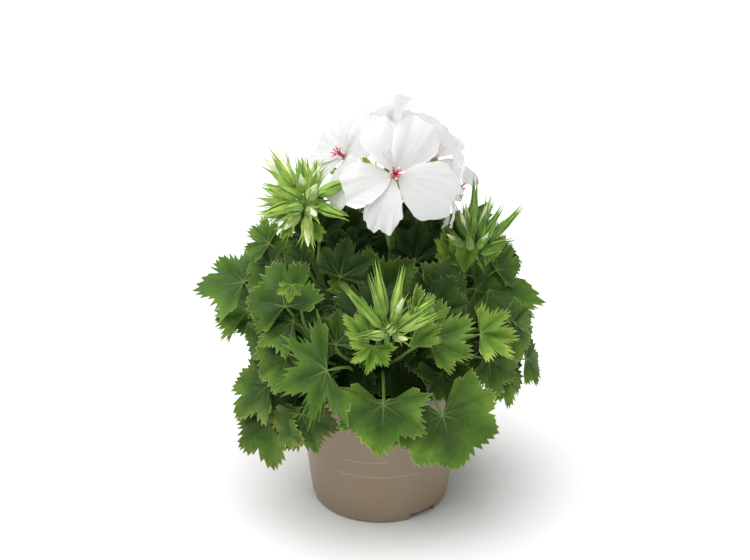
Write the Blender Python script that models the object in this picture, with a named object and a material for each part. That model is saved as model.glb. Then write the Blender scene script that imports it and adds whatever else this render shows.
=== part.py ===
# A regal pelargonium in its nursery pot, in metres. The front is -Y and the origin is the middle of the pot's
# base. The pot holds peat with a plain hole for each stem. Every leafy stem, umbel and bloom is a solid of its
# own, and each leaf, petal and bud is bent until it is clear of the others.

import math
import random

import bmesh
import bpy
from mathutils import Matrix, Vector
from mathutils.bvhtree import BVHTree

# Pot
POT_HEIGHT = 0.104
FOOT_RADIUS = 0.0485
RIM_RADIUS = 0.0615
RIM_DEPTH = 0.010
RIM_OVERHANG = 0.0030
RIM_EDGE = 0.0008  # the bevel round the top of the rim
RIM_SLOPE = 0.0010  # how far the underside of the rim falls inwards
THROAT_SLOPE = 0.0020  # how far below the rim the inside of the wall begins
WALL = 0.0015
FLOOR = 0.0030
FOOT_ROUNDING = 0.0030
POT_SIDES = 32
NOTCH_AZIMUTHS = (38.0, 158.0, 278.0)  # degrees to the right of the front
NOTCH_WIDTH = 26.0
NOTCH_HEIGHT = 0.0048
NOTCH_DEPTH = 0.0100
ROOF_INSET = 0.0006  # how far the roof of a notch keeps inside the wall and above the foot
ROOF_LAP = 4.0  # degrees by which the roof is wider than its notch
DRAIN_RADIUS = 0.0030
DRAIN_INSET = 0.0060  # from the foot's edge to the middle of the drain hole
PAST = 0.004  # how far each cutter reaches past what it cuts

# Peat
PEAT_TOP = 0.0925
PEAT_BUMPS = 0.0010
PEAT_FALL = 0.0025  # how much lower the peat lies at the pot's wall
PEAT_SIDES = 18
PEAT_RINGS = (1.0, 0.60, 0.28)
GAP = 0.0004  # between neighbours that touch
HOLE_DEPTH = 0.028
HOLE_PLAY = 0.0010

# Radii of stems and stalks
STEM_FOOT = 0.0032
STEM_TOP = 0.0019
PETIOLE_ROOT = 0.0013
PETIOLE_TIP = 0.0010
PEDUNCLE = 0.0017
PEDICEL = 0.0006
KNOT = 0.0035  # the hub that an umbel's stalks spring from

# How stems and stalks run
FOOT_LIFT = 0.0006  # above the bottom of the stem's hole
COLLAR = 0.004  # height above the peat up to which a stem stands straight
PETIOLE_SLANT = 0.75  # how far a petiole climbs for each metre that it reaches out
PETIOLE_LOWEST = 0.010  # above the peat
PETIOLE_TOP = 0.004  # below the stem's top
LOW_LEAF = 0.125  # a leaf below this height hangs from a petiole that first rises steeply
STEEP, GENTLE = 0.9, 0.5  # rise of a petiole as it leaves the stem
PETIOLE_BEND = (0.42, 0.38)  # shares of its span over which a petiole keeps its first and last direction
PETIOLE_END = (0.75, 0.5)  # it meets the blade this much from behind, and this much along it
ROOT_OVERLAP = 0.0006  # how far a petiole reaches into the blade
PEDUNCLE_BEND = (0.4, 0.3)
PEDICEL_BEND = (0.3, 0.2)
PEDICEL_TAIL = -0.014  # where a pedicel turns in behind its bloom

# Thickness of the blades, and the room that each keeps from everything it doesn't grow from
BLADE = 0.00075
PETAL = 0.00075
CLEARANCE = 0.0003

# Each leafy stem: where it leaves the peat, and where its top is.
STEMS = {
    "leafy_stem_front": ((0.001, -0.019), (0.004, -0.062, 0.148)),
    "leafy_stem_front_left": ((-0.014, -0.014), (-0.046, -0.048, 0.150)),
    "leafy_stem_front_right": ((0.014, -0.014), (0.055, -0.045, 0.142)),
    "leafy_stem_left": ((-0.021, -0.001), (-0.046, -0.018, 0.196)),
    "leafy_stem_right": ((0.020, -0.001), (0.056, -0.014, 0.176)),
    "leafy_stem_middle": ((0.000, 0.000), (0.008, -0.004, 0.196)),
    "leafy_stem_back_left": ((-0.013, 0.015), (-0.044, 0.048, 0.176)),
    "leafy_stem_back_right": ((0.014, 0.015), (0.050, 0.042, 0.178)),
    "leafy_stem_back": ((0.001, 0.022), (0.002, 0.062, 0.172)),
}

# Each leaf of the front: x, y, z of the point where its petiole meets the blade, the azimuth and elevation that
# its upper side faces, the turn of its tip from hanging (0) towards its right (90), its length and its form.
LEAVES = {
    "leafy_stem_front": (
        (0.002, -0.090, 0.117, 2, 26, -5, 0.038, "big"),
        (-0.004, -0.096, 0.162, -4, 50, -8, 0.022, "young"),
        (-0.006, -0.060, 0.156, -26, 18, -142, 0.041, "upright"),
        (0.030, -0.076, 0.155, 14, 24, 110, 0.036, "young"),
        (-0.029, -0.070, 0.150, -6, 22, 175, 0.025, "upright"),
    ),
    "leafy_stem_front_left": (
        (-0.034, -0.082, 0.138, -14, 28, -62, 0.044, "cut"),
        (-0.074, -0.055, 0.113, -42, 46, -78, 0.036, "broad"),
        (-0.065, -0.064, 0.105, -40, 20, -52, 0.034, "broad"),
        (-0.067, -0.062, 0.091, -36, 10, 4, 0.036, "broad"),
        (-0.054, -0.072, 0.102, -24, 14, 12, 0.035, "broad"),
        (-0.057, -0.058, 0.153, -30, 56, -85, 0.036, "broad"),
        (-0.061, -0.052, 0.167, -30, 20, -142, 0.036, "broad"),
        (-0.060, -0.060, 0.138, -36, 36, -50, 0.032, "broad"),
        (-0.056, -0.060, 0.188, -30, 40, 8, 0.014, "young"),
        (-0.060, -0.040, 0.116, -40, 14, -30, 0.030, "broad"),
        (-0.050, -0.052, 0.112, -34, 14, -12, 0.032, "broad"),
    ),
    "leafy_stem_front_right": (
        (0.033, -0.076, 0.111, 20, 30, 22, 0.053, "round"),
        (0.062, -0.065, 0.154, 30, 40, 62, 0.032, "young"),
        (0.070, -0.060, 0.128, 36, 44, 38, 0.032, "broad"),
        (0.080, -0.050, 0.120, 52, 28, 40, 0.029, "broad"),
        (0.066, -0.034, 0.133, 40, 16, 20, 0.034, "broad"),
        (0.086, -0.040, 0.122, 58, 36, 34, 0.031, "broad"),
    ),
    "leafy_stem_left": (
        (-0.091, -0.018, 0.171, -22, 62, -122, 0.040, "big"),
        (-0.093, -0.024, 0.155, -30, 14, -78, 0.034, "folded"),
        (-0.073, -0.022, 0.200, -34, 32, -110, 0.023, "young"),
        (-0.071, -0.026, 0.187, -42, 30, -80, 0.029, "broad"),
        (-0.076, -0.040, 0.143, -56, 30, -24, 0.028, "broad"),
        (-0.058, -0.036, 0.189, -24, 24, -140, 0.025, "upright"),
        (-0.042, 0.000, 0.194, -20, 20, 178, 0.034, "upright"),
    ),
    "leafy_stem_right": (
        (0.070, -0.025, 0.158, 30, 74, 73, 0.058, "big"),
        (0.043, -0.050, 0.169, 30, 28, 98, 0.036, "broad"),
        (0.036, -0.046, 0.157, 16, 16, 172, 0.045, "upright"),
        (0.059, -0.026, 0.174, 50, 36, 92, 0.038, "broad"),
        (0.076, -0.014, 0.176, 44, 22, 122, 0.027, "upright"),
        (0.079, -0.036, 0.147, 62, 40, 56, 0.033, "broad"),
        (0.062, -0.026, 0.142, 36, 18, 12, 0.032, "broad"),
        (0.040, 0.004, 0.184, 8, 20, 172, 0.034, "upright"),
        (0.058, 0.006, 0.188, 20, 24, 160, 0.032, "upright"),
    ),
    "leafy_stem_middle": (
        (0.002, -0.045, 0.170, 0, 16, -178, 0.047, "big"),
        (-0.033, -0.038, 0.178, -14, 18, 179, 0.035, "upright"),
        (-0.023, -0.018, 0.185, -6, 22, 174, 0.028, "upright"),
        (0.023, -0.020, 0.186, 10, 20, 166, 0.032, "upright"),
        (-0.026, 0.006, 0.188, -8, 20, -168, 0.034, "upright"),
        (0.016, 0.012, 0.186, 0, 20, 178, 0.034, "upright"),
    ),
}

# The other leaves stand in tiers, inside the front ones and all over the back: height, reach of the petiole's
# end, elevation that the blade faces, leaf length, and the azimuth of each. The nearest stem carries each.
TIERS = (
    (0.118, 0.050, 24, 0.036, (-52, 48)),
    (0.148, 0.032, 30, 0.032, (-70, 40)),
    (0.176, 0.030, 44, 0.028, (-80, 80)),
    (0.106, 0.086, 22, 0.040, (108, 142, 176, 210, 244)),
    (0.140, 0.092, 36, 0.040, (118, 144, 170, 196, 222, 248)),
    (0.172, 0.076, 46, 0.038, (118, 152, 186, 220, 254)),
    (0.196, 0.046, 60, 0.034, (205,)),
)
TIER_SCATTER = 7.0  # degrees
FACE_SCATTER = (16, 8)  # degrees of azimuth and of elevation
TURN_SCATTER = 38
REACH_SPREAD = (0.94, 1.04)
HEIGHT_SPREAD = (-0.006, 0.006)
SIZE_SPREAD = (0.9, 1.08)
BEND_STEPS = 300  # tries at bending a leaf clear
FULL_BEND = 100  # the try from which a leaf may be bent as far as this, and grow this much smaller
BEND_OUT = (-0.008, 0.010)
BEND_ASIDE = (-0.008, 0.008)
BEND_UP = (-0.007, 0.009)
BEND_AZIMUTH = (-28, 28)
BEND_ELEVATION = (-22, 28)
BEND_TURN = (-26, 26)
BEND_SHRINK = 0.25
STEEPEST = 84.0  # the highest elevation that a bent leaf faces
OWN_STEM = 0.01  # how little it counts when a leaf touches another of its own stem, with which it is fused

# The cuts of a leaf's edge, from one lobe's tip to the next: share of the way, and share of the notch's depth.
COARSE_CUTS = ((0.0, 0.0), (0.38, 1.0), (0.60, 0.50))
FINE_CUTS = ((0.0, 0.0), (0.22, 0.62), (0.32, 0.36), (0.50, 1.0), (0.68, 0.36), (0.78, 0.62))

# Leaf forms: lobes, half the angle that they span, depth of the notches between them, length of the outermost
# lobes, and the relief: cup, fold along the midrib, pleats, and droop of the tip.
FORMS = {
    "broad": dict(lobes=5, span=106, notch=0.24, side=0.86, cup=0.04, fold=0.07, pleat=0.06, droop=0.18),
    "big": dict(lobes=5, span=112, notch=0.24, side=0.92, cup=0.05, fold=0.05, pleat=0.05, droop=0.14),
    "cut": dict(lobes=5, span=98, notch=0.38, side=0.96, cup=0.05, fold=0.07, pleat=0.05, droop=0.14),
    "round": dict(lobes=7, span=132, notch=0.15, side=0.88, cup=0.04, fold=0.03, pleat=0.05, droop=0.16),
    "young": dict(lobes=5, span=88, notch=0.36, side=0.72, cup=0.18, fold=0.22, pleat=0.06, droop=0.06),
    "upright": dict(lobes=5, span=82, notch=0.26, side=0.70, cup=0.16, fold=0.14, pleat=0.06, droop=-0.04),
    "folded": dict(lobes=3, span=42, notch=0.26, side=0.84, cup=0.10, fold=0.55, pleat=0.04, droop=0.00),
}
FINE_FORMS = ("big", "cut", "round")
BASE_CORNER = (0.34, 0.62)  # the corner beside the petiole: share of a lobe's angle, and of the side's length
SIDE_FALL = 1.6  # how fast the lobes grow shorter towards the sides
INNER_ROW = 0.55  # share of the way to the edge at which a blade has its inner row of corners
LEAF_WAVE = (0.035, 2.3)  # height and turns of the slow wave round a leaf's edge

# Each umbel of buds: stem, its hub, the azimuth and elevation that it looks, its spread, buds, stalk length,
# bud length and bud radius.
UMBELS = {
    "bud_umbel_left": ("leafy_stem_left", (-0.048, -0.028, 0.232), -58, 34, 100, 22, 0.010, 0.031, 0.0036),
    "bud_umbel_front": ("leafy_stem_front", (0.005, -0.083, 0.166), 2, 58, 66, 14, 0.007, 0.034, 0.0026),
    "bud_umbel_right": ("leafy_stem_right", (0.060, -0.024, 0.194), 34, 66, 48, 18, 0.012, 0.033, 0.0024),
    "bud_umbel_back": ("leafy_stem_back", (0.000, 0.066, 0.204), 176, 44, 92, 11, 0.011, 0.026, 0.0034),
}

# The open umbel: its hub, and each bloom's middle, the azimuth and elevation that it faces, its turn and the
# length of its petals.
OPEN_STEM = "leafy_stem_middle"
OPEN_HUB = (0.010, -0.006, 0.222)
BLOOMS = {
    "bloom_front": ((0.009, -0.050, 0.258), 2, 28, 0, 0.038),
    "bloom_left": ((-0.023, -0.018, 0.259), -60, 34, -10, 0.036),
    "bloom_right": ((0.036, 0.003, 0.250), 136, 26, 16, 0.037),
    "bloom_back": ((0.006, 0.030, 0.256), 190, 40, 0, 0.034),
    "bloom_low_right": ((0.044, -0.026, 0.240), 96, -8, 30, 0.028),
}
PETAL_TURNS = (30.0, 114.0, 197.0, 254.0, 338.0)  # degrees clockwise from the top of the bloom
PETAL_SIZES = (1.02, 1.06, 1.0, 0.90, 0.96)
PETAL_SPANS = (36.0, 44.0, 29.0, 38.0, 33.0)  # half the angle of each petal
PETAL_ROLL = 9.0  # lets each petal lie over the next
PETAL_CORNERS = (0.34, 3.2)  # how much and how fast a petal's end falls off to its sides
PETAL_LOBES = 0.03  # depth of the faint waves in its end
PETAL_RISE = (0.42, -0.36, 0.05)  # how a petal rises from the throat, flattens, and cups towards its sides
PETAL_WAVE = (0.04, 5.2)
PETAL_LIFTS = (0, 8, -8, 16, -16, 24, 32, 40, 48, 56, 64, 72)  # tried in turn where something is in the way
BLOOM_DISC = 0.0024
DISC_FACE = 0.0012  # height of the disc to each side of the bloom's middle
CLAW = 0.0012  # how far out from the middle a petal starts
STAMENS = 4
STAMEN_BASE = ((0.0016, 0.0030), (0.0014, 0.0012))  # heights and radii
STAMEN_START = (0.0005, 0.0024)  # out from the middle, and up
STAMEN_REACH = (0.0024, 0.0040)
STAMEN_HEIGHT = (0.0075, 0.0105)
STAMEN_RADII = (0.0005, 0.0009)
SEPAL_TIP = (0.0085, -0.0105)  # out from the middle, and back
SEPAL_NOTCH = (0.0024, -0.0040)
CALYX_MIDDLE = (-0.0018, -0.0060)  # front and back
CALYX_NECK = 0.0020

BUD_BELLY = 0.36  # share of its length at which a bud is widest
BUD_SIZES = (0.66, 1.14)
BUD_SAGS = (-0.05, 0.25)  # how far a bud turns up as it leaves its stalk
BUD_TRIES = 40  # tries at tilting a bud clear
BUD_TILT = 0.02  # how much further each try tilts it

COLOURS = {
    "pot": ((0.31, 0.24, 0.19), 0.48),
    "peat": ((0.035, 0.024, 0.017), 0.95),
    "leaf": ((0.055, 0.150, 0.030), 0.45),
    "bud": ((0.300, 0.480, 0.080), 0.42),
    "petal": ((0.88, 0.87, 0.87), 0.55),
    "stamen": ((0.55, 0.05, 0.09), 0.45),
}


# Solids

def material(name):
    found = bpy.data.materials.get(name)
    if found:
        return found
    colour, roughness = COLOURS[name]
    made = bpy.data.materials.new(name)
    made.use_nodes = True
    shader = made.node_tree.nodes["Principled BSDF"]
    shader.inputs["Base Color"].default_value = (*colour, 1.0)
    shader.inputs["Roughness"].default_value = roughness
    shader.inputs["Metallic"].default_value = 0.0
    return made


def add(name, bm, finish):
    """Turns a closed bmesh into a named object."""
    bmesh.ops.recalc_face_normals(bm, faces=bm.faces)
    mesh = bpy.data.meshes.new(name)
    bm.to_mesh(mesh)
    bm.free()
    mesh.materials.append(material(finish))
    obj = bpy.data.objects.new(name, mesh)
    bpy.context.scene.collection.objects.link(obj)
    return obj


def combine(name, first, others, operation, finish, solver="MANIFOLD"):
    """One solid from the first bmesh and the others, which are joined to it or cut from it."""
    obj = add(name, first, finish)
    group = bpy.data.collections.new(name)
    bpy.context.scene.collection.children.link(group)
    for bm in others:
        piece = add(name + "_piece", bm, finish)
        bpy.context.scene.collection.objects.unlink(piece)
        group.objects.link(piece)
    boolean = obj.modifiers.new(operation, "BOOLEAN")
    boolean.operation = operation
    boolean.operand_type = "COLLECTION"
    boolean.collection = group
    boolean.solver = solver
    graph = bpy.context.evaluated_depsgraph_get()
    joined = bpy.data.meshes.new_from_object(obj.evaluated_get(graph))
    obj.modifiers.clear()
    obj.data = joined
    for piece in list(group.objects):
        bpy.data.objects.remove(piece)
    bpy.data.collections.remove(group)
    return obj


def heading(azimuth, elevation=0.0):
    """The unit vector at an azimuth to the right of the front, and an elevation above the horizon."""
    a, e = math.radians(azimuth), math.radians(elevation)
    return Vector((math.sin(a) * math.cos(e), -math.cos(a) * math.cos(e), math.sin(e)))


def facing_frame(place, azimuth, elevation, turn):
    """The matrix of a blade: Z is the way it faces, and Y its tip, turned from hanging towards its right."""
    normal = heading(azimuth, elevation)
    hanging = (normal * normal.z - Vector((0, 0, 1))).normalized()
    tip = Matrix.Rotation(math.radians(turn), 3, normal) @ hanging
    frame = Matrix((tip.cross(normal), tip, normal)).transposed().to_4x4()
    return Matrix.Translation(place) @ frame


def curve_through(start, leaving, end, arriving, steps):
    """Points on a smooth curve from start, along leaving, to end, along arriving."""
    a, b = start + leaving, end - arriving
    points = []
    for i in range(steps + 1):
        t = i / steps
        u = 1 - t
        points.append(start * u**3 + a * (3 * t * u * u) + b * (3 * t * t * u) + end * t**3)
    return points


def loft(points, radii, sides):
    """A closed solid round a row of points. A last radius of 0 ends it in a point."""
    bm = bmesh.new()
    rings = []
    first = (points[1] - points[0]).normalized()
    side = Vector((0, 0, 1)) if abs(first.z) < 0.9 else Vector((1, 0, 0))
    for i, point in enumerate(points):
        along = (points[min(i + 1, len(points) - 1)] - points[max(i - 1, 0)]).normalized()
        side = (side - along * side.dot(along)).normalized()
        other = along.cross(side)
        if radii[i] == 0:
            rings.append([bm.verts.new(point)])
            continue
        ring = []
        for k in range(sides):
            t = 2 * math.pi * k / sides
            ring.append(bm.verts.new(point + (side * math.cos(t) + other * math.sin(t)) * radii[i]))
        rings.append(ring)
    for low, high in zip(rings, rings[1:]):
        for k in range(sides):
            n = (k + 1) % sides
            if len(high) == 1:
                bm.faces.new((low[k], low[n], high[0]))
            else:
                bm.faces.new((low[k], low[n], high[n]))
                bm.faces.new((low[k], high[n], high[k]))
    bm.faces.new(rings[0][::-1])
    if len(rings[-1]) > 1:
        bm.faces.new(rings[-1])
    return bm


def knot(place):
    bm = bmesh.new()
    bmesh.ops.create_icosphere(bm, subdivisions=1, radius=KNOT, matrix=Matrix.Translation(place))
    return bm


def turned(profile, sides):
    """A bmesh spun from a profile of (radius, height) points that starts and ends on the axis."""
    bm = bmesh.new()
    row = [bm.verts.new((r, 0, z)) for r, z in profile]
    edges = [bm.edges.new(pair) for pair in zip(row, row[1:])]
    whole = dict(cent=(0, 0, 0), axis=(0, 0, 1), angle=2 * math.pi, steps=sides, use_merge=True)
    bmesh.ops.spin(bm, geom=row + edges, **whole)
    bmesh.ops.remove_doubles(bm, verts=bm.verts, dist=1e-6)
    return bm


def ring_block(inner, outer, low, high, azimuth, width, steps=3):
    """A block bent round the pot's axis, from the inner to the outer radius."""
    bm = bmesh.new()
    rings = []
    for i in range(steps + 1):
        out = heading(azimuth + width * (i / steps - 0.5))
        corners = ((inner, low), (outer, low), (outer, high), (inner, high))
        rings.append([bm.verts.new(out * r + Vector((0, 0, z))) for r, z in corners])
    for one, two in zip(rings, rings[1:]):
        for k in range(4):
            bm.faces.new((one[k], one[(k + 1) % 4], two[(k + 1) % 4], two[k]))
    bm.faces.new(rings[0])
    bm.faces.new(rings[-1][::-1])
    return bm


# Pot and peat

def wall_radius(height):
    """The outer radius of the pot's wall."""
    shoulder = POT_HEIGHT - RIM_DEPTH
    return FOOT_RADIUS + (RIM_RADIUS - RIM_OVERHANG - FOOT_RADIUS) * height / shoulder


def pot_body():
    """The pot before its notches and drain holes: a tapered wall with a turned-out rim."""
    shoulder = POT_HEIGHT - RIM_DEPTH
    profile = [(0, 0)]
    for degrees in (0, 45, 90):
        t = math.radians(degrees)
        inset = FOOT_ROUNDING * (1 - math.sin(t))
        profile.append((FOOT_RADIUS - inset, FOOT_ROUNDING * (1 - math.cos(t))))
    profile += [
        (wall_radius(shoulder), shoulder),
        (RIM_RADIUS, shoulder + RIM_SLOPE),
        (RIM_RADIUS, POT_HEIGHT - RIM_EDGE),
        (RIM_RADIUS - RIM_EDGE, POT_HEIGHT),
        (RIM_RADIUS - RIM_OVERHANG, POT_HEIGHT),
        (wall_radius(shoulder) - WALL, shoulder - THROAT_SLOPE),
        (wall_radius(FLOOR) - WALL, FLOOR),
        (0, FLOOR),
    ]
    return turned(profile, POT_SIDES)


def pot():
    """The moulded pot, with raised notches through its foot and a drain hole in the roof of each."""
    inner = FOOT_RADIUS - NOTCH_DEPTH
    top = NOTCH_HEIGHT + WALL
    roofs = []
    cuts = []
    for azimuth in NOTCH_AZIMUTHS:
        outer = FOOT_RADIUS - ROOF_INSET
        roofs.append(ring_block(inner - WALL, outer, ROOF_INSET, top, azimuth, NOTCH_WIDTH + ROOF_LAP))
        cuts.append(ring_block(inner, FOOT_RADIUS + PAST, -PAST, NOTCH_HEIGHT, azimuth, NOTCH_WIDTH))
        drain = heading(azimuth) * (FOOT_RADIUS - DRAIN_INSET)
        cuts.append(loft([drain, drain + Vector((0, 0, top + PAST))], [DRAIN_RADIUS] * 2, 6))
    solid = combine("pot", pot_body(), roofs, "UNION", "pot", "EXACT")
    whole = bmesh.new()
    whole.from_mesh(solid.data)
    bpy.data.objects.remove(solid)
    return combine("pot", whole, cuts, "DIFFERENCE", "pot", "EXACT")


def peat_height(x, y):
    """The crumbly top of the peat, a little higher in the middle."""
    wave = math.sin(x * 310 + 1.0) * math.cos(y * 270 + 0.4) + 0.6 * math.sin(x * 620 - y * 540)
    return PEAT_TOP + PEAT_BUMPS * wave - PEAT_FALL * (x * x + y * y) / FOOT_RADIUS**2


def peat_body():
    """The peat that fills the pot, before the stems' holes."""
    bm = bmesh.new()
    low = FLOOR + GAP
    top = wall_radius(PEAT_TOP) - WALL - 3 * GAP
    sizes = [(wall_radius(low) - WALL - 2 * GAP, low)] + [(top * share, None) for share in PEAT_RINGS]
    rings = []
    for radius, height in sizes:
        ring = []
        for k in range(PEAT_SIDES):
            out = heading(360 * k / PEAT_SIDES) * radius
            z = height or peat_height(out.x, out.y)
            ring.append(bm.verts.new((out.x, out.y, z)))
        rings.append(ring)
    middle = bm.verts.new((0, 0, peat_height(0, 0)))
    for k in range(PEAT_SIDES):
        n = (k + 1) % PEAT_SIDES
        for one, two in zip(rings, rings[1:]):
            bm.faces.new((one[k], one[n], two[n]))
            bm.faces.new((one[k], two[n], two[k]))
        bm.faces.new((rings[-1][k], rings[-1][n], middle))
    bm.faces.new(rings[0][::-1])
    return bm


def peat():
    """The peat, with a plain hole for each stem and room for the roofs of the pot's notches."""
    holes = []
    for (x, y), _ in STEMS.values():
        foot = Vector((x, y, PEAT_TOP - HOLE_DEPTH))
        mouth = foot + Vector((0, 0, HOLE_DEPTH + PAST))
        holes.append(loft([foot, mouth], [STEM_FOOT + HOLE_PLAY] * 2, 5))
    inner = FOOT_RADIUS - NOTCH_DEPTH - WALL - GAP
    top = NOTCH_HEIGHT + WALL + GAP
    for azimuth in NOTCH_AZIMUTHS:
        holes.append(ring_block(inner, FOOT_RADIUS + PAST, 0, top, azimuth, NOTCH_WIDTH + 1.5 * ROOF_LAP))
    return combine("peat", peat_body(), holes, "DIFFERENCE", "peat", "EXACT")


# Blades

def leaf_edge(form, length, cuts):
    """The toothed edge of a leaf as (angle from the midrib, radius), from one side of its base to the other."""
    gaps = form["lobes"] - 1
    step = 2 * form["span"] / gaps
    edge = []
    for k in range(gaps):
        for share, depth in cuts:
            angle = -form["span"] + (k + share) * step
            reach = 1 - (1 - form["side"]) * abs(angle / form["span"]) ** SIDE_FALL
            edge.append((angle, length * reach * (1 - form["notch"] * depth)))
    edge.append((form["span"], length * form["side"]))
    base = form["span"] + BASE_CORNER[0] * step
    shoulder = length * form["side"] * BASE_CORNER[1]
    return [(-base, shoulder), *edge, (base, shoulder)]


def leaf_relief(form, phase, angle, reach):
    """How far a leaf's surface lies above its flat plane, in leaf lengths, at a share of its length."""
    step = 2 * form["span"] / (form["lobes"] - 1)
    across = reach * math.sin(math.radians(angle))
    along = reach * math.cos(math.radians(angle))
    pleats = math.cos(2 * math.pi * (angle + form["span"]) / step)
    rise = form["cup"] * reach**2 + form["fold"] * abs(across) - form["pleat"] * reach * pleats
    rise -= form["droop"] * along * abs(along)
    return rise + LEAF_WAVE[0] * reach**3 * math.sin(math.radians(angle) * LEAF_WAVE[1] + phase)


def petal_edge(span, length):
    """A broad petal's rounded and faintly waved edge."""
    edge = []
    for k in range(9):
        share = k / 4 - 1
        fall = PETAL_CORNERS[0] * abs(share) ** PETAL_CORNERS[1]
        edge.append((span * share, length * (1 - fall - PETAL_LOBES * math.cos(3 * math.pi * share))))
    return edge


def petal_relief(span, phase, angle, reach):
    """A petal rises from the throat, flattens, and is waved at its edge."""
    share = angle / span
    rise = PETAL_RISE[0] * reach + PETAL_RISE[1] * reach**2 + PETAL_RISE[2] * reach**2 * share**2
    return rise + PETAL_WAVE[0] * reach**3 * math.sin(PETAL_WAVE[1] * share + phase)


def blade(edge, length, relief, inner_angles, thickness, frame):
    """A closed blade: on each face a fan of triangles out to an inner row, and a strip on to its edge."""
    bm = bmesh.new()

    def edge_radius(angle):
        for (a, ra), (b, rb) in zip(edge, edge[1:]):
            if a <= angle <= b:
                return ra + (rb - ra) * (angle - a) / (b - a)

    angles = [edge[0][0], *inner_angles, edge[-1][0]]
    places = [(0, 0)] + [(a, INNER_ROW * edge_radius(a)) for a in angles] + edge
    faces = []
    for side in (thickness / 2, -thickness / 2):
        points = []
        for angle, radius in places:
            a = math.radians(angle)
            rise = length * relief(angle, radius / length) + side
            points.append(bm.verts.new((radius * math.sin(a), radius * math.cos(a), rise)))
        root, inner, outer = points[0], points[1 : len(angles) + 1], points[len(angles) + 1 :]
        for one, two in zip(inner, inner[1:]):
            bm.faces.new((root, one, two))
        i = j = 0
        while i < len(inner) - 1 or j < len(outer) - 1:
            if j == len(outer) - 1 or (i < len(inner) - 1 and angles[i + 1] <= edge[j + 1][0]):
                bm.faces.new((inner[i], inner[i + 1], outer[j]))
                i += 1
            else:
                bm.faces.new((inner[i], outer[j + 1], outer[j]))
                j += 1
        faces.append([root, inner[0], *outer, inner[-1]])
    top, bottom = faces
    for k in range(len(top)):
        n = (k + 1) % len(top)
        bm.faces.new((top[k], top[n], bottom[n]))
        bm.faces.new((top[k], bottom[n], bottom[k]))
    bmesh.ops.transform(bm, matrix=frame, verts=bm.verts)
    return bm


def leaf_blade(leaf, thickness=BLADE):
    form, length = FORMS[leaf["form"]], leaf["length"]
    cuts = FINE_CUTS if leaf["form"] in FINE_FORMS else COARSE_CUTS
    veins = [form["span"] * share for share in (-0.75, -0.5, -0.25, 0, 0.25, 0.5, 0.75)]
    if cuts is COARSE_CUTS:
        veins = veins[1::2]
    frame = facing_frame(leaf["place"], *leaf["faces"], leaf["turn"])

    def relief(angle, reach):
        return leaf_relief(form, leaf["phase"], angle, reach)

    return blade(leaf_edge(form, length, cuts), length, relief, veins, thickness, frame)


# Stems and petioles

def stem_line(name, steps=4):
    """The middle line of a leafy stem, from the bottom of its hole up."""
    (x, y), top = STEMS[name]
    top = Vector(top)
    foot = Vector((x, y, PEAT_TOP - HOLE_DEPTH + FOOT_LIFT))
    collar = Vector((x, y, PEAT_TOP + COLLAR))
    reach = (top - collar).length / 3
    up = Vector((0, 0, 1))
    lean = ((top - collar).normalized() + up).normalized()
    return [foot, *curve_through(collar, up * reach, top, lean * reach, steps)]


def stem_solid(name, spare=0.0):
    line = stem_line(name)
    steps = len(line) - 2
    radii = [STEM_FOOT] + [STEM_FOOT + (STEM_TOP - STEM_FOOT) * i / steps for i in range(steps + 1)]
    return loft(line, [radius + spare for radius in radii], 5)


def point_at_height(line, height):
    for one, two in zip(line, line[1:]):
        if one.z <= height <= two.z:
            return one.lerp(two, (height - one.z) / (two.z - one.z))
    return line[-1]


def petiole(leaf, spare=0.0):
    """The leaf's stalk, from the middle of its stem into the blade's root."""
    line = stem_line(leaf["stem"])
    place = leaf["place"]
    frame = facing_frame(place, *leaf["faces"], leaf["turn"])
    normal, tip = frame.col[2].to_3d(), frame.col[1].to_3d()
    away = (place.xy - line[-1].xy * 0.5).length
    height = max(place.z - PETIOLE_SLANT * away, PEAT_TOP + PETIOLE_LOWEST)
    height = min(height, line[-1].z - PETIOLE_TOP)
    start = point_at_height(line, height)
    out = Vector((place.x - start.x, place.y - start.y, 0)).normalized()
    length = (place - start).length
    rise = Vector((0, 0, STEEP if place.z < LOW_LEAF else GENTLE))
    leaving = (out + rise).normalized() * length * PETIOLE_BEND[0]
    arriving = (normal * PETIOLE_END[0] + tip * PETIOLE_END[1]).normalized() * length * PETIOLE_BEND[1]
    points = curve_through(start, leaving, place + tip * ROOT_OVERLAP, arriving, 2)
    radii = [PETIOLE_ROOT, (PETIOLE_ROOT + PETIOLE_TIP) / 2, PETIOLE_TIP * 0.5]
    return loft(points, [radius + spare for radius in radii], 3)


def peduncle(stem, hub):
    """The stalk of an umbel, which stands on the top of its stem."""
    line = stem_line(stem)
    lean = (line[-1] - line[-2]).normalized()
    start = line[-1] + lean * GAP
    span = (hub - start).length
    leaving, arriving = lean * span * PEDUNCLE_BEND[0], (hub - start).normalized() * span * PEDUNCLE_BEND[1]
    return loft(curve_through(start, leaving, hub, arriving, 3), [PEDUNCLE] * 4, 5)


# Finding what crosses

def tree(*solids):
    """A search tree of solids, for finding what crosses them. It frees them."""
    points, faces = [], []
    for bm in solids:
        first = len(points)
        bm.verts.index_update()
        points += [v.co.copy() for v in bm.verts]
        faces += [[first + v.index for v in face.verts] for face in bm.faces]
        bm.free()
    return BVHTree.FromPolygons(points, faces)


def crossings(shape, taken):
    return sum(1 for _, other in taken if other.overlap(shape))


# Leaves

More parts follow.
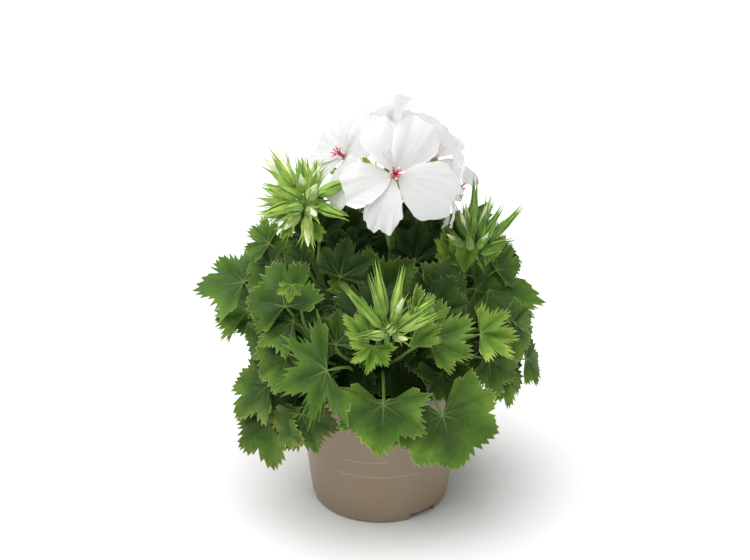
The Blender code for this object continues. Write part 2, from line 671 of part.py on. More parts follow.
def bent(leaf, step):
    """The leaf a little moved and turned. Later steps bend it further."""
    draw = random.Random(step * 7919 + int(leaf["length"] * 1e5))
    share = min(1.0, step / FULL_BEND)
    place = leaf["place"]
    out = Vector((place.x, place.y, 0)).normalized()
    across = Vector((-out.y, out.x, 0))
    azimuth, elevation = leaf["faces"]
    moved = dict(leaf)
    moved["place"] = place + out * draw.uniform(*BEND_OUT) * share
    moved["place"] += across * draw.uniform(*BEND_ASIDE) * share
    moved["place"].z += draw.uniform(*BEND_UP) * share
    azimuth += draw.uniform(*BEND_AZIMUTH) * share
    elevation = min(STEEPEST, elevation + draw.uniform(*BEND_ELEVATION) * share)
    moved["faces"] = (azimuth, elevation)
    moved["turn"] = leaf["turn"] + draw.uniform(*BEND_TURN) * share
    moved["length"] = leaf["length"] * (1 - BEND_SHRINK * share * share * draw.random())
    return moved


def nearest_stem(place):
    """The stem whose top lies closest to a place."""
    return min(STEMS, key=lambda stem: (Vector(STEMS[stem][1]) - place).length)


def planned_leaves():
    """Every leaf as its row or its tier gives it, before any is bent clear."""
    leaves = []
    for stem, rows in LEAVES.items():
        for x, y, z, azimuth, elevation, turn, length, form in rows:
            leaf = dict(stem=stem, place=Vector((x, y, z)), faces=(azimuth, elevation))
            leaves.append(leaf | dict(turn=turn, length=length, form=form))
    draw = random.Random(11)
    for height, reach, elevation, length, azimuths in TIERS:
        for azimuth in azimuths:
            azimuth += draw.uniform(-TIER_SCATTER, TIER_SCATTER)
            place = heading(azimuth) * reach * draw.uniform(*REACH_SPREAD)
            place.z = height + draw.uniform(*HEIGHT_SPREAD)
            aside, above = [draw.uniform(-scatter, scatter) for scatter in FACE_SCATTER]
            leaf = dict(stem=nearest_stem(place), place=place, faces=(azimuth + aside, elevation + above))
            leaf["turn"] = draw.uniform(-TURN_SCATTER, TURN_SCATTER)
            leaves.append(leaf | dict(length=length * draw.uniform(*SIZE_SPREAD), form="broad"))
    for number, leaf in enumerate(leaves):
        leaf["phase"] = number * 2.4
    return leaves


def settled_leaves(taken):
    """The leaves, each bent until it is clear of what is taken. One without room is left out."""
    settled = []
    for leaf in planned_leaves():
        stem = leaf["stem"]
        others = [entry for entry in taken if entry[0] != stem]
        own = [entry for entry in taken if entry[0] == stem]
        best = None
        for step in range(BEND_STEPS):
            tried = bent(leaf, step)
            body = tree(leaf_blade(tried, BLADE + 2 * CLEARANCE))
            stalk = tree(petiole(tried, CLEARANCE))
            crossed = crossings(body, others) + crossings(stalk, others) + OWN_STEM * crossings(body, own)
            if best is None or crossed < best[0]:
                best = (crossed, tried, body, stalk)
            if crossed == 0 or (crossed < 1 and step > BEND_STEPS / 2):
                break
        crossed, tried, body, stalk = best
        if crossed < 1:
            taken += [(stem, body), (stem, stalk)]
            settled.append(tried)
    return settled


def leafy_stem(name, leaves):
    parts = []
    for leaf in leaves:
        parts += [petiole(leaf), leaf_blade(leaf)]
    return combine(name, stem_solid(name), parts, "UNION", "leaf")


# Buds

def cap_directions(azimuth, elevation, spread, count):
    """Directions spread evenly, as in a sunflower, over a cap that looks one way."""
    frame = heading(azimuth, elevation).to_track_quat("Z", "Y").to_matrix()
    found = []
    for k in range(count):
        tilt = math.radians(spread) * math.sqrt((k + 0.5) / count)
        turn = k * math.radians(137.5)
        local = Vector((math.sin(tilt) * math.cos(turn), math.sin(tilt) * math.sin(turn), math.cos(tilt)))
        found.append(frame @ local)
    return found


def bud(hub, way, stalk, length, radius, sag, spare=0.0):
    """One bud on its stalk: a spindle with a long sharp tip."""
    base = hub + way * (KNOT + stalk)
    side = (way + Vector((0, 0, sag))).normalized()
    tip_way = (side + Vector((0, 0, sag * 0.5))).normalized()
    points = [hub + way * KNOT * 0.7, base, base + side * length * BUD_BELLY, base + tip_way * length]
    radii = [PEDICEL, PEDICEL, radius]
    return loft(points, [r + spare for r in radii] + [0], 4)


def settled_buds(name, taken):
    """The buds of an umbel, each tilted until it is clear of what is taken. Those without room are left out."""
    stem, hub, azimuth, elevation, spread, count, stalk, length, radius = UMBELS[name]
    hub = Vector(hub)
    draw = random.Random(name)
    found = []
    others = [entry for entry in taken if entry[0] != name]
    for way in cap_directions(azimuth, elevation, spread, count):
        size = draw.uniform(*BUD_SIZES)
        sag = draw.uniform(*BUD_SAGS)
        for step in range(BUD_TRIES):
            nudge = Vector((draw.uniform(-1, 1), draw.uniform(-1, 1), draw.uniform(-1, 1)))
            tried = (way + nudge * step * BUD_TILT).normalized()
            shape = (hub, tried, stalk * size, length * size, radius * (0.5 + 0.5 * size), sag)
            if crossings(tree(bud(*shape, CLEARANCE)), others) == 0:
                found.append(shape)
                break
    return found


def bud_umbel(name, taken):
    stem, hub = UMBELS[name][0], Vector(UMBELS[name][1])
    buds = settled_buds(name, taken)
    combine(name, knot(hub), [peduncle(stem, hub)] + [bud(*shape) for shape in buds], "UNION", "bud")
    taken.append((name, tree(*[bud(*shape) for shape in buds])))


# Blooms

def bloom_frame(name):
    """The frame of a bloom: Z the way it faces, -Y its top."""
    middle, azimuth, elevation, turn, _ = BLOOMS[name]
    return facing_frame(Vector(middle), azimuth, elevation, turn)


def petal_blade(name, number, lift, thickness=PETAL):
    length = BLOOMS[name][4] * PETAL_SIZES[number]
    span = PETAL_SPANS[number]
    frame = bloom_frame(name) @ Matrix.Rotation(math.radians(180 - PETAL_TURNS[number]), 4, "Z")
    frame = frame @ Matrix.Translation((0, CLAW, 0)) @ Matrix.Rotation(math.radians(PETAL_ROLL), 4, "Y")
    frame = frame @ Matrix.Rotation(math.radians(lift), 4, "X")

    def relief(angle, reach):
        return petal_relief(span, number * 1.7, angle, reach)

    return blade(petal_edge(span, length), length, relief, (-span / 2, span / 2), thickness, frame)


def bloom_disc(name):
    frame = bloom_frame(name)
    return loft([frame @ Vector((0, 0, z)) for z in (-DISC_FACE, DISC_FACE)], [BLOOM_DISC] * 2, 6)


def stamen_solids(name):
    """The red filaments and style in the middle of a bloom."""
    frame = bloom_frame(name)
    heights, radii = STAMEN_BASE
    solids = [loft([frame @ Vector((0, 0, z)) for z in heights], radii, 4)]
    draw = random.Random(name)
    for k in range(STAMENS):
        a = 2 * math.pi * k / STAMENS + draw.uniform(-0.3, 0.3)
        out = Vector((math.cos(a), math.sin(a), 0))
        tip = out * draw.uniform(*STAMEN_REACH)
        tip.z = draw.uniform(*STAMEN_HEIGHT)
        root = out * STAMEN_START[0] + Vector((0, 0, STAMEN_START[1]))
        solids.append(loft([frame @ root, frame @ tip], STAMEN_RADII, 3))
    return solids


def bloom(name, taken):
    """A bloom: each petal is lifted until it is clear of what is taken. One without room is left out."""
    stamens, *filaments = stamen_solids(name)
    combine(name + "_stamens", stamens, filaments, "UNION", "stamen")
    taken.append((name, tree(*stamen_solids(name))))
    shapes = []
    for number in range(len(PETAL_TURNS)):
        for lift in PETAL_LIFTS:
            shape = tree(petal_blade(name, number, lift, PETAL + 2 * CLEARANCE))
            if crossings(shape, taken) == 0:
                shapes.append((number, lift))
                break
    petals = [petal_blade(name, *shape) for shape in shapes]
    combine(name + "_petals", bloom_disc(name), petals, "UNION", "petal")
    taken.append((name, tree(bloom_disc(name), *[petal_blade(name, *shape) for shape in shapes])))


def calyx(frame):
    """The five sepals behind a bloom, bent back, as one star."""
    bm = bmesh.new()
    front, back = [bm.verts.new((0, 0, z)) for z in CALYX_MIDDLE]
    rim = []
    for k in range(10):
        a = math.pi * k / 5
        reach, fall = SEPAL_TIP if k % 2 else SEPAL_NOTCH
        rim.append(bm.verts.new((reach * math.sin(a), reach * math.cos(a), fall)))
    for k in range(10):
        bm.faces.new((front, rim[k], rim[(k + 1) % 10]))
        bm.faces.new((back, rim[(k + 1) % 10], rim[k]))
    bmesh.ops.transform(bm, matrix=frame, verts=bm.verts)
    return bm


def open_umbel_solids():
    """The green stalks of the open umbel: a peduncle, and a pedicel with its sepals behind each bloom."""
    hub = Vector(OPEN_HUB)
    solids = [knot(hub), peduncle(OPEN_STEM, hub)]
    for name in BLOOMS:
        frame = bloom_frame(name)
        back = frame @ Vector((0, 0, -DISC_FACE - GAP))
        tail = frame @ Vector((0, 0, PEDICEL_TAIL))
        span = (back - hub).length
        leaving = (tail - hub).normalized() * span * PEDICEL_BEND[0]
        points = curve_through(hub, leaving, tail, frame.col[2].to_3d() * span * PEDICEL_BEND[1], 2)
        solids.append(loft([*points, back], [PEDICEL] * 3 + [CALYX_NECK], 4))
        solids.append(calyx(frame))
    return solids


def main():
    for obj in list(bpy.data.objects):
        bpy.data.objects.remove(obj)
    pot()
    peat()
    taken = [("pot", tree(pot_body())), ("peat", tree(peat_body()))]
    first, *rest = open_umbel_solids()
    combine("open_umbel_stalks", first, rest, "UNION", "bud")
    taken.append(("open_umbel_stalks", tree(*open_umbel_solids())))
    for name, (stem, hub, *_) in UMBELS.items():
        taken.append((name, tree(knot(Vector(hub)), peduncle(stem, Vector(hub)))))
    for name in BLOOMS:
        bloom(name, taken)
    for name in UMBELS:
        bud_umbel(name, taken)
    taken += [(stem, tree(stem_solid(stem, CLEARANCE))) for stem in STEMS]
    leaves = settled_leaves(taken)
    for stem in STEMS:
        leafy_stem(stem, [leaf for leaf in leaves if leaf["stem"] == stem])


main()
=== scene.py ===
# A potted regal pelargonium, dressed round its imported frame. Metres, +Z up, and the front is -Y.

import math
import random

import bmesh
import bpy
from mathutils import Matrix, Vector, noise
from mathutils.kdtree import KDTree


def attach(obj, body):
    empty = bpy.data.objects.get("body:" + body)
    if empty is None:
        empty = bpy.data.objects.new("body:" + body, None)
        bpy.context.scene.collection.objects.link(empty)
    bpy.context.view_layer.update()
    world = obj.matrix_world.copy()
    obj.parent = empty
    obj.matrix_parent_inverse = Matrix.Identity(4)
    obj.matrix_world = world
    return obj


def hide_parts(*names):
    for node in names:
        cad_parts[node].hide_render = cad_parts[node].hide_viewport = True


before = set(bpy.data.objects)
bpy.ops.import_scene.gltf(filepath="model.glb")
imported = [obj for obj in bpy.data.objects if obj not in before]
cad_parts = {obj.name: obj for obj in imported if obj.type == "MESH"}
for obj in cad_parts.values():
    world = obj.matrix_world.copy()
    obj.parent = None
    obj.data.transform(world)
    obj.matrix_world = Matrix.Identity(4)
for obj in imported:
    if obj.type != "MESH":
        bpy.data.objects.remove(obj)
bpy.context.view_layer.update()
print("frame loaded with", len(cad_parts), "nodes")


# Camera: above and in front of the pot, at the photograph's angle

view = {"lens": 72.0, "sensor": 36.0, "place": (-0.0036, -0.930, 0.582), "down": 24.2}

cameraData = bpy.data.cameras.new("camera")
cameraData.lens = view["lens"]
cameraData.sensor_width = view["sensor"]
camera = bpy.data.objects.new("camera", cameraData)
camera.location = view["place"]
camera.rotation_euler = (math.radians(90 - view["down"]), 0, 0)
bpy.context.scene.collection.objects.link(camera)
bpy.context.scene.camera = camera


# Small tools

def linear(hexColour):
    parts = [int(hexColour[i:i + 2], 16) / 255 for i in (1, 3, 5)]
    return [p / 12.92 if p <= 0.04045 else ((p + 0.055) / 1.055) ** 2.4 for p in parts] + [1.0]


def newMaterial(name):
    made = bpy.data.materials.new(name)
    made.use_nodes = True
    return made, made.node_tree.nodes["Principled BSDF"]


def feed(material, node, inputs):
    # each input gets a plain value, a socket, or the live output of another node
    for key, value in inputs.items():
        if isinstance(value, bpy.types.Node):
            value = next(out for out in value.outputs if out.enabled)
        if isinstance(value, bpy.types.NodeSocket):
            material.node_tree.links.new(value, node.inputs[key])
        else:
            node.inputs[key].default_value = value


def addNode(material, kind, settings=None, inputs=None):
    node = material.node_tree.nodes.new(kind)
    for key, value in (settings or {}).items():
        setattr(node, key, value)
    feed(material, node, inputs or {})
    return node


def setStops(ramp, stops):
    while len(ramp.color_ramp.elements) < len(stops):
        ramp.color_ramp.elements.new(0.5)
    for element, (position, colour) in zip(ramp.color_ramp.elements, stops):
        element.position = position
        element.color = linear(colour)


def finishPiece(name, bm, materials, sharpAngle=38):
    mesh = bpy.data.meshes.new(name)
    bm.to_mesh(mesh)
    bm.free()
    for each in materials:
        mesh.materials.append(each)
    mesh.shade_smooth()
    mesh.set_sharp_from_angle(angle=math.radians(sharpAngle))
    piece = bpy.data.objects.new(name, mesh)
    bpy.context.scene.collection.objects.link(piece)
    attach(piece, "root")
    return piece


# Directions and curves, as the plan of growth uses them

def heading(azimuth, elevation=0.0):
    a, e = math.radians(azimuth), math.radians(elevation)
    return Vector((math.sin(a) * math.cos(e), -math.cos(a) * math.cos(e), math.sin(e)))


def facingFrame(place, azimuth, elevation, turn):
    normal = heading(azimuth, elevation)
    hanging = (normal * normal.z - Vector((0, 0, 1))).normalized()
    tip = Matrix.Rotation(math.radians(turn), 3, normal) @ hanging
    turned = Matrix((tip.cross(normal), tip, normal)).transposed().to_4x4()
    return Matrix.Translation(place) @ turned


def curveThrough(start, leaving, end, arriving, steps):
    a, b = start + leaving, end - arriving
    points = []
    for i in range(steps + 1):
        t = i / steps
        u = 1 - t
        points.append(start * u**3 + a * (3 * t * u * u) + b * (3 * t * t * u) + end * t**3)
    return points


def pathFrames(points, widths, depths=None):
    # one matrix for each point: Z along the path, X and Y scaled to the width and the depth
    frames = []
    first = (points[1] - points[0]).normalized()
    side = Vector((0, 0, 1)) if abs(first.z) < 0.9 else Vector((1, 0, 0))
    for i, point in enumerate(points):
        along = (points[min(i + 1, len(points) - 1)] - points[max(i - 1, 0)]).normalized()
        side = (side - along * side.dot(along)).normalized()
        turned = Matrix((side, along.cross(side), along)).transposed().to_4x4()
        depth = depths[i] if depths else widths[i]
        frames.append(Matrix.Translation(point) @ turned @ Matrix.Diagonal((widths[i], depth, 1, 1)))
    return frames


def sweep(bm, frames, sides):
    # a closed tube: a circle, extruded from one matrix to the next
    made = bmesh.ops.create_circle(bm, cap_ends=True, segments=sides, radius=1.0, matrix=frames[0])
    verts = made["verts"]
    found = list(verts)
    edges = list({edge for v in verts for edge in v.link_edges})
    for before, after in zip(frames, frames[1:]):
        grown = bmesh.ops.extrude_edge_only(bm, edges=edges)["geom"]
        verts = [g for g in grown if isinstance(g, bmesh.types.BMVert)]
        edges = [g for g in grown if isinstance(g, bmesh.types.BMEdge)]
        bmesh.ops.transform(bm, matrix=after @ before.inverted(), verts=verts)
        found += verts
    bmesh.ops.edgeloop_fill(bm, edges=edges)
    faces = list({face for v in found for face in v.link_faces})
    bmesh.ops.recalc_face_normals(bm, faces=faces)
    return found


# The plan of growth: the same stems, leaves, umbels and blooms as the solids have

growth = {
    "peatTop": 0.0925,
    "holeDepth": 0.028,
    "stemFoot": 0.0032,
    "stemTop": 0.0019,
    "petioleRoot": 0.0013,
    "petioleTip": 0.0010,
    "blade": 0.00075,  # thickness of the solid blades, whose corners mark where each one was bent to
    "bendSteps": 300,
    "tierScatter": 7.0,
    # where each stem leaves the peat, and where its top is
    "stems": {
        "leafy_stem_front": ((0.001, -0.019), (0.004, -0.062, 0.148)),
        "leafy_stem_front_left": ((-0.014, -0.014), (-0.046, -0.048, 0.150)),
        "leafy_stem_front_right": ((0.014, -0.014), (0.055, -0.045, 0.142)),
        "leafy_stem_left": ((-0.021, -0.001), (-0.046, -0.018, 0.196)),
        "leafy_stem_right": ((0.020, -0.001), (0.056, -0.014, 0.176)),
        "leafy_stem_middle": ((0.000, 0.000), (0.008, -0.004, 0.196)),
        "leafy_stem_back_left": ((-0.013, 0.015), (-0.044, 0.048, 0.176)),
        "leafy_stem_back_right": ((0.014, 0.015), (0.050, 0.042, 0.178)),
        "leafy_stem_back": ((0.001, 0.022), (0.002, 0.062, 0.172)),
    },
    # x, y, z of the blade's root, azimuth and elevation that it faces, turn of its tip, length, form
    "leaves": {
        "leafy_stem_front": (
            (0.002, -0.090, 0.117, 2, 26, -5, 0.038, "big"),
            (-0.004, -0.096, 0.162, -4, 50, -8, 0.022, "young"),
            (-0.006, -0.060, 0.156, -26, 18, -142, 0.041, "upright"),
            (0.030, -0.076, 0.155, 14, 24, 110, 0.036, "young"),
            (-0.029, -0.070, 0.150, -6, 22, 175, 0.025, "upright"),
        ),
        "leafy_stem_front_left": (
            (-0.034, -0.082, 0.138, -14, 28, -62, 0.044, "cut"),
            (-0.074, -0.055, 0.113, -42, 46, -78, 0.036, "broad"),
            (-0.065, -0.064, 0.105, -40, 20, -52, 0.034, "broad"),
            (-0.067, -0.062, 0.091, -36, 10, 4, 0.036, "broad"),
            (-0.054, -0.072, 0.102, -24, 14, 12, 0.035, "broad"),
            (-0.057, -0.058, 0.153, -30, 56, -85, 0.036, "broad"),
            (-0.061, -0.052, 0.167, -30, 20, -142, 0.036, "broad"),
            (-0.060, -0.060, 0.138, -36, 36, -50, 0.032, "broad"),
            (-0.056, -0.060, 0.188, -30, 40, 8, 0.014, "young"),
            (-0.060, -0.040, 0.116, -40, 14, -30, 0.030, "broad"),
            (-0.050, -0.052, 0.112, -34, 14, -12, 0.032, "broad"),
        ),
        "leafy_stem_front_right": (
            (0.033, -0.076, 0.111, 20, 30, 22, 0.053, "round"),
            (0.062, -0.065, 0.154, 30, 40, 62, 0.032, "young"),
            (0.070, -0.060, 0.128, 36, 44, 38, 0.032, "broad"),
            (0.080, -0.050, 0.120, 52, 28, 40, 0.029, "broad"),
            (0.066, -0.034, 0.133, 40, 16, 20, 0.034, "broad"),
            (0.086, -0.040, 0.122, 58, 36, 34, 0.031, "broad"),
        ),
        "leafy_stem_left": (
            (-0.091, -0.018, 0.171, -22, 62, -122, 0.040, "big"),
            (-0.093, -0.024, 0.155, -30, 14, -78, 0.034, "folded"),
            (-0.073, -0.022, 0.200, -34, 32, -110, 0.023, "young"),
            (-0.071, -0.026, 0.187, -42, 30, -80, 0.029, "broad"),
            (-0.076, -0.040, 0.143, -56, 30, -24, 0.028, "broad"),
            (-0.058, -0.036, 0.189, -24, 24, -140, 0.025, "upright"),
            (-0.042, 0.000, 0.194, -20, 20, 178, 0.034, "upright"),
        ),
        "leafy_stem_right": (
            (0.070, -0.025, 0.158, 30, 74, 73, 0.058, "big"),
            (0.043, -0.050, 0.169, 30, 28, 98, 0.036, "broad"),
            (0.036, -0.046, 0.157, 16, 16, 172, 0.045, "upright"),
            (0.059, -0.026, 0.174, 50, 36, 92, 0.038, "broad"),
            (0.076, -0.014, 0.176, 44, 22, 122, 0.027, "upright"),
            (0.079, -0.036, 0.147, 62, 40, 56, 0.033, "broad"),
            (0.062, -0.026, 0.142, 36, 18, 12, 0.032, "broad"),
            (0.040, 0.004, 0.184, 8, 20, 172, 0.034, "upright"),
            (0.058, 0.006, 0.188, 20, 24, 160, 0.032, "upright"),
        ),
        "leafy_stem_middle": (
            (0.002, -0.045, 0.170, 0, 16, -178, 0.047, "big"),
            (-0.033, -0.038, 0.178, -14, 18, 179, 0.035, "upright"),
            (-0.023, -0.018, 0.185, -6, 22, 174, 0.028, "upright"),
            (0.023, -0.020, 0.186, 10, 20, 166, 0.032, "upright"),
            (-0.026, 0.006, 0.188, -8, 20, -168, 0.034, "upright"),
            (0.016, 0.012, 0.186, 0, 20, 178, 0.034, "upright"),
        ),
    },
    # blades in the shade inside the plant, which close the view through it: the same, without a form
    "sheltered": {
        "leafy_stem_left": (
            (-0.043, 0.012, 0.186, -10, 14, 8, 0.040),
            (-0.050, 0.006, 0.160, -16, 16, -20, 0.040),
            (-0.056, 0.012, 0.138, -10, 16, 0, 0.040),
            (-0.082, 0.000, 0.160, -40, 18, 4, 0.032),
            (-0.080, 0.002, 0.138, -30, 18, -12, 0.034),
        ),
        "leafy_stem_middle": (
            (-0.022, 0.018, 0.196, -4, 12, 0, 0.036),
            (0.002, 0.016, 0.200, 0, 14, 10, 0.038),
            (0.022, 0.012, 0.190, 4, 14, -12, 0.038),
            (0.034, 0.002, 0.152, 6, 18, 0, 0.038),
        ),
        "leafy_stem_right": (
            (0.050, 0.012, 0.196, 10, 14, 14, 0.038),
            (0.064, 0.008, 0.162, 20, 16, 10, 0.036),
            (0.080, 0.000, 0.136, 40, 18, 0, 0.032),
        ),
        "leafy_stem_front": (
            (-0.022, -0.030, 0.124, -10, 24, -14, 0.036),
            (0.012, -0.030, 0.122, 4, 26, 10, 0.038),
            (0.040, -0.022, 0.124, 16, 24, 20, 0.036),
            (-0.008, -0.022, 0.142, 0, 20, 0, 0.036),
        ),
    },
    # the other leaves: height, reach, elevation faced, length, and the azimuth of each
    "tiers": (
        (0.118, 0.050, 24, 0.036, (-52, 48)),
        (0.148, 0.032, 30, 0.032, (-70, 40)),
        (0.176, 0.030, 44, 0.028, (-80, 80)),
        (0.106, 0.086, 22, 0.040, (108, 142, 176, 210, 244)),
        (0.140, 0.092, 36, 0.040, (118, 144, 170, 196, 222, 248)),
        (0.172, 0.076, 46, 0.038, (118, 152, 186, 220, 254)),
        (0.196, 0.046, 60, 0.034, (205,)),
    ),
    "forms": {
        "broad": dict(lobes=5, span=106, notch=0.24, side=0.86, cup=0.04, fold=0.07, pleat=0.06, droop=0.18),
        "big": dict(lobes=5, span=112, notch=0.24, side=0.92, cup=0.05, fold=0.05, pleat=0.05, droop=0.14),
        "cut": dict(lobes=5, span=98, notch=0.38, side=0.96, cup=0.05, fold=0.07, pleat=0.05, droop=0.14),
        "round": dict(lobes=7, span=132, notch=0.15, side=0.88, cup=0.04, fold=0.03, pleat=0.05, droop=0.16),
        "young": dict(lobes=5, span=88, notch=0.36, side=0.72, cup=0.18, fold=0.22, pleat=0.06, droop=0.06),
        "upright": dict(lobes=5, span=82, notch=0.26, side=0.70, cup=0.16, fold=0.14, pleat=0.06, droop=-0.04),
        "folded": dict(lobes=3, span=42, notch=0.26, side=0.84, cup=0.10, fold=0.55, pleat=0.04, droop=0.00),
    },
}


def plannedLeaves():
    leaves = []
    for stem, rows in growth["leaves"].items():
        for x, y, z, azimuth, elevation, turn, length, form in rows:
            leaf = dict(stem=stem, place=Vector((x, y, z)), faces=(azimuth, elevation))
            leaves.append(leaf | dict(turn=turn, length=length, form=form))
    draw = random.Random(11)
    scatter = growth["tierScatter"]
    tops = {stem: Vector(top) for stem, (_, top) in growth["stems"].items()}
    for height, reach, elevation, length, azimuths in growth["tiers"]:
        for azimuth in azimuths:
            azimuth += draw.uniform(-scatter, scatter)
            place = heading(azimuth) * reach * draw.uniform(0.94, 1.04)
            place.z = height + draw.uniform(-0.006, 0.006)
            faces = (azimuth + draw.uniform(-16, 16), elevation + draw.uniform(-8, 8))
            stem = min(tops, key=lambda name: (tops[name] - place).length)
            leaf = dict(stem=stem, place=place, faces=faces, turn=draw.uniform(-38, 38))
            leaf["length"] = length * draw.uniform(0.9, 1.08)
            leaves.append(leaf | dict(form="broad"))
    for number, leaf in enumerate(leaves):
        leaf["phase"] = number * 2.4
    return leaves


def bentLeaf(leaf, step):
    draw = random.Random(step * 7919 + int(leaf["length"] * 1e5))
    share = min(1.0, step / 100)
    place = leaf["place"]
    out = Vector((place.x, place.y, 0)).normalized()
    across = Vector((-out.y, out.x, 0))
    azimuth, elevation = leaf["faces"]
    moved = dict(leaf)
    moved["place"] = place + out * draw.uniform(-0.008, 0.010) * share
    moved["place"] += across * draw.uniform(-0.008, 0.008) * share
    moved["place"].z += draw.uniform(-0.007, 0.009) * share
    azimuth += draw.uniform(-28, 28) * share
    elevation = min(84.0, elevation + draw.uniform(-22, 28) * share)
    moved["faces"] = (azimuth, elevation)
    moved["turn"] = leaf["turn"] + draw.uniform(-26, 26) * share
    moved["length"] = leaf["length"] * (1 - 0.25 * share * share * draw.random())
    return moved


def leafRelief(form, phase, angle, reach):
    step = 2 * form["span"] / (form["lobes"] - 1)
    across = reach * math.sin(math.radians(angle))
    along = reach * math.cos(math.radians(angle))
    pleats = math.cos(2 * math.pi * (angle + form["span"]) / step)
    rise = form["cup"] * reach**2 + form["fold"] * abs(across) - form["pleat"] * reach * pleats
    rise -= form["droop"] * along * abs(along)
    return rise + 0.035 * reach**3 * math.sin(math.radians(angle) * 2.3 + phase)


def nodeCorners(name):
    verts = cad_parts[name].data.vertices
    corners = KDTree(len(verts))
    for v in verts:
        corners.insert(v.co, v.index)
    corners.balance()
    return corners


def marksFound(corners, marks):
    return sum(1 for mark in marks if corners.find(mark)[2] < 2e-5)


def leafMarks(leaf):
    # the tips of the solid leaf's lobes
    form, length = growth["forms"][leaf["form"]], leaf["length"]
    turned = facingFrame(leaf["place"], *leaf["faces"], leaf["turn"])
    marks = []
    for k in range(form["lobes"]):
        angle = -form["span"] + 2 * form["span"] * k / (form["lobes"] - 1)
        reach = 1 - (1 - form["side"]) * abs(angle / form["span"]) ** 1.6
        a = math.radians(angle)
        rise = length * leafRelief(form, leaf["phase"], angle, reach) + growth["blade"] / 2
        marks.append(turned @ Vector((length * reach * math.sin(a), length * reach * math.cos(a), rise)))
    return marks


def settledLeaves():
    # the bend that each solid leaf took, found by its lobes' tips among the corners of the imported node
    corners = {stem: nodeCorners(stem) for stem in growth["stems"]}
    settled = []
    for leaf in plannedLeaves():
        for step in range(growth["bendSteps"]):
            moved = bentLeaf(leaf, step)
            if marksFound(corners[leaf["stem"]], leafMarks(moved)) >= 2:
                settled.append(moved)
                break
    return settled


def shelteredLeaves():
    found = []
    for stem, rows in growth["sheltered"].items():
        for x, y, z, azimuth, elevation, turn, length in rows:
            leaf = dict(stem=stem, place=Vector((x, y, z)), faces=(azimuth, elevation), turn=turn)
            found.append(leaf | dict(length=length, form="broad", phase=len(found) * 2.4))
    return found


def stemLine(name, steps):
    (x, y), top = growth["stems"][name]
    top = Vector(top)
    foot = Vector((x, y, growth["peatTop"] - growth["holeDepth"] + 0.0006))
    collar = Vector((x, y, growth["peatTop"] + 0.004))
    reach = (top - collar).length / 3
    up = Vector((0, 0, 1))
    lean = ((top - collar).normalized() + up).normalized()
    return [foot, *curveThrough(collar, up * reach, top, lean * reach, steps)]


def petiolePath(leaf, steps):
    # the stalk starts where the solid one does, on the stem's straight stretches
    line = stemLine(leaf["stem"], 4)
    place = leaf["place"]
    turned = facingFrame(place, *leaf["faces"], leaf["turn"])
    normal, tip = turned.col[2].to_3d(), turned.col[1].to_3d()
    away = (place.xy - line[-1].xy * 0.5).length
    height = min(max(place.z - 0.75 * away, growth["peatTop"] + 0.010), line[-1].z - 0.004)
    start = line[-1]
    for one, two in zip(line, line[1:]):
        if one.z <= height <= two.z:
            start = one.lerp(two, (height - one.z) / (two.z - one.z))
            break
    out = Vector((place.x - start.x, place.y - start.y, 0)).normalized()
    length = (place - start).length
    rise = Vector((0, 0, 0.9 if place.z < 0.125 else 0.5))
    leaving = (out + rise).normalized() * length * 0.42
    arriving = (normal * 0.75 + tip * 0.5).normalized() * length * 0.38
    return curveThrough(start, leaving, place + tip * 0.0006, arriving, steps)


# Leaves

leafShape = {
    "rows": 12,  # rings of faces from the root to the edge
    "thickness": 0.00042,
    "inset": 0.985,  # share of the solid blade's reach
    "ruffle": (0.012, 0.028),  # least and most wave of the edge, share of the length
    "furrow": 0.022,  # how deep the main veins lie, share of the length
    "curl": (-0.02, 0.05),  # least and most fall of the edge, share of the length
    "lobeSizes": (0.90, 1.0),
    "notchSizes": (0.85, 1.12),
    # the toothed edge between two lobe tips: share of the way, share of the notch's depth
    "evenTeeth": (
        (0.00, 0.00), (0.07, 0.62), (0.12, 0.30), (0.20, 1.00), (0.26, 0.62), (0.34, 1.28), (0.40, 0.90),
        (0.50, 1.55), (0.60, 0.90), (0.66, 1.28), (0.74, 0.62), (0.80, 1.00), (0.88, 0.30), (0.93, 0.62),
    ),
    "skewTeeth": (
        (0.00, 0.00), (0.07, 0.50), (0.12, 0.20), (0.20, 0.90), (0.27, 0.50), (0.40, 1.40), (0.46, 0.80),
        (0.53, 1.15), (0.60, 0.50), (0.68, 0.85), (0.76, 0.24), (0.84, 0.60), (0.90, 0.08), (0.95, 0.40),
    ),
    "evenForms": ("big", "cut", "round"),
    # how young each form looks: 0 is dark and old, 1 bright and new; the upright leaves stand inside the plant,
    # and their low tone is partly painted shade
    "tones": {"broad": 0.32, "big": 0.40, "cut": 0.34, "round": 0.36, "young": 0.50, "upright": 0.20,
              "folded": 0.52, "bract": 0.54},
    # painted shade: leaves at the plant's middle are darkened, where they lie in shadow
    "innerPaintedShade": -0.26,  # for a leaf at the plant's middle
    "warp": 5.0,  # degrees that the lobes wander sideways
    "toothSizes": (0.72, 1.22),
    "toothDrift": 0.018,  # share of the way between two lobe tips
    "toneSpread": 0.09,
    "dryBelow": 0.118,  # the lowest leaves on the left have brown edges
}


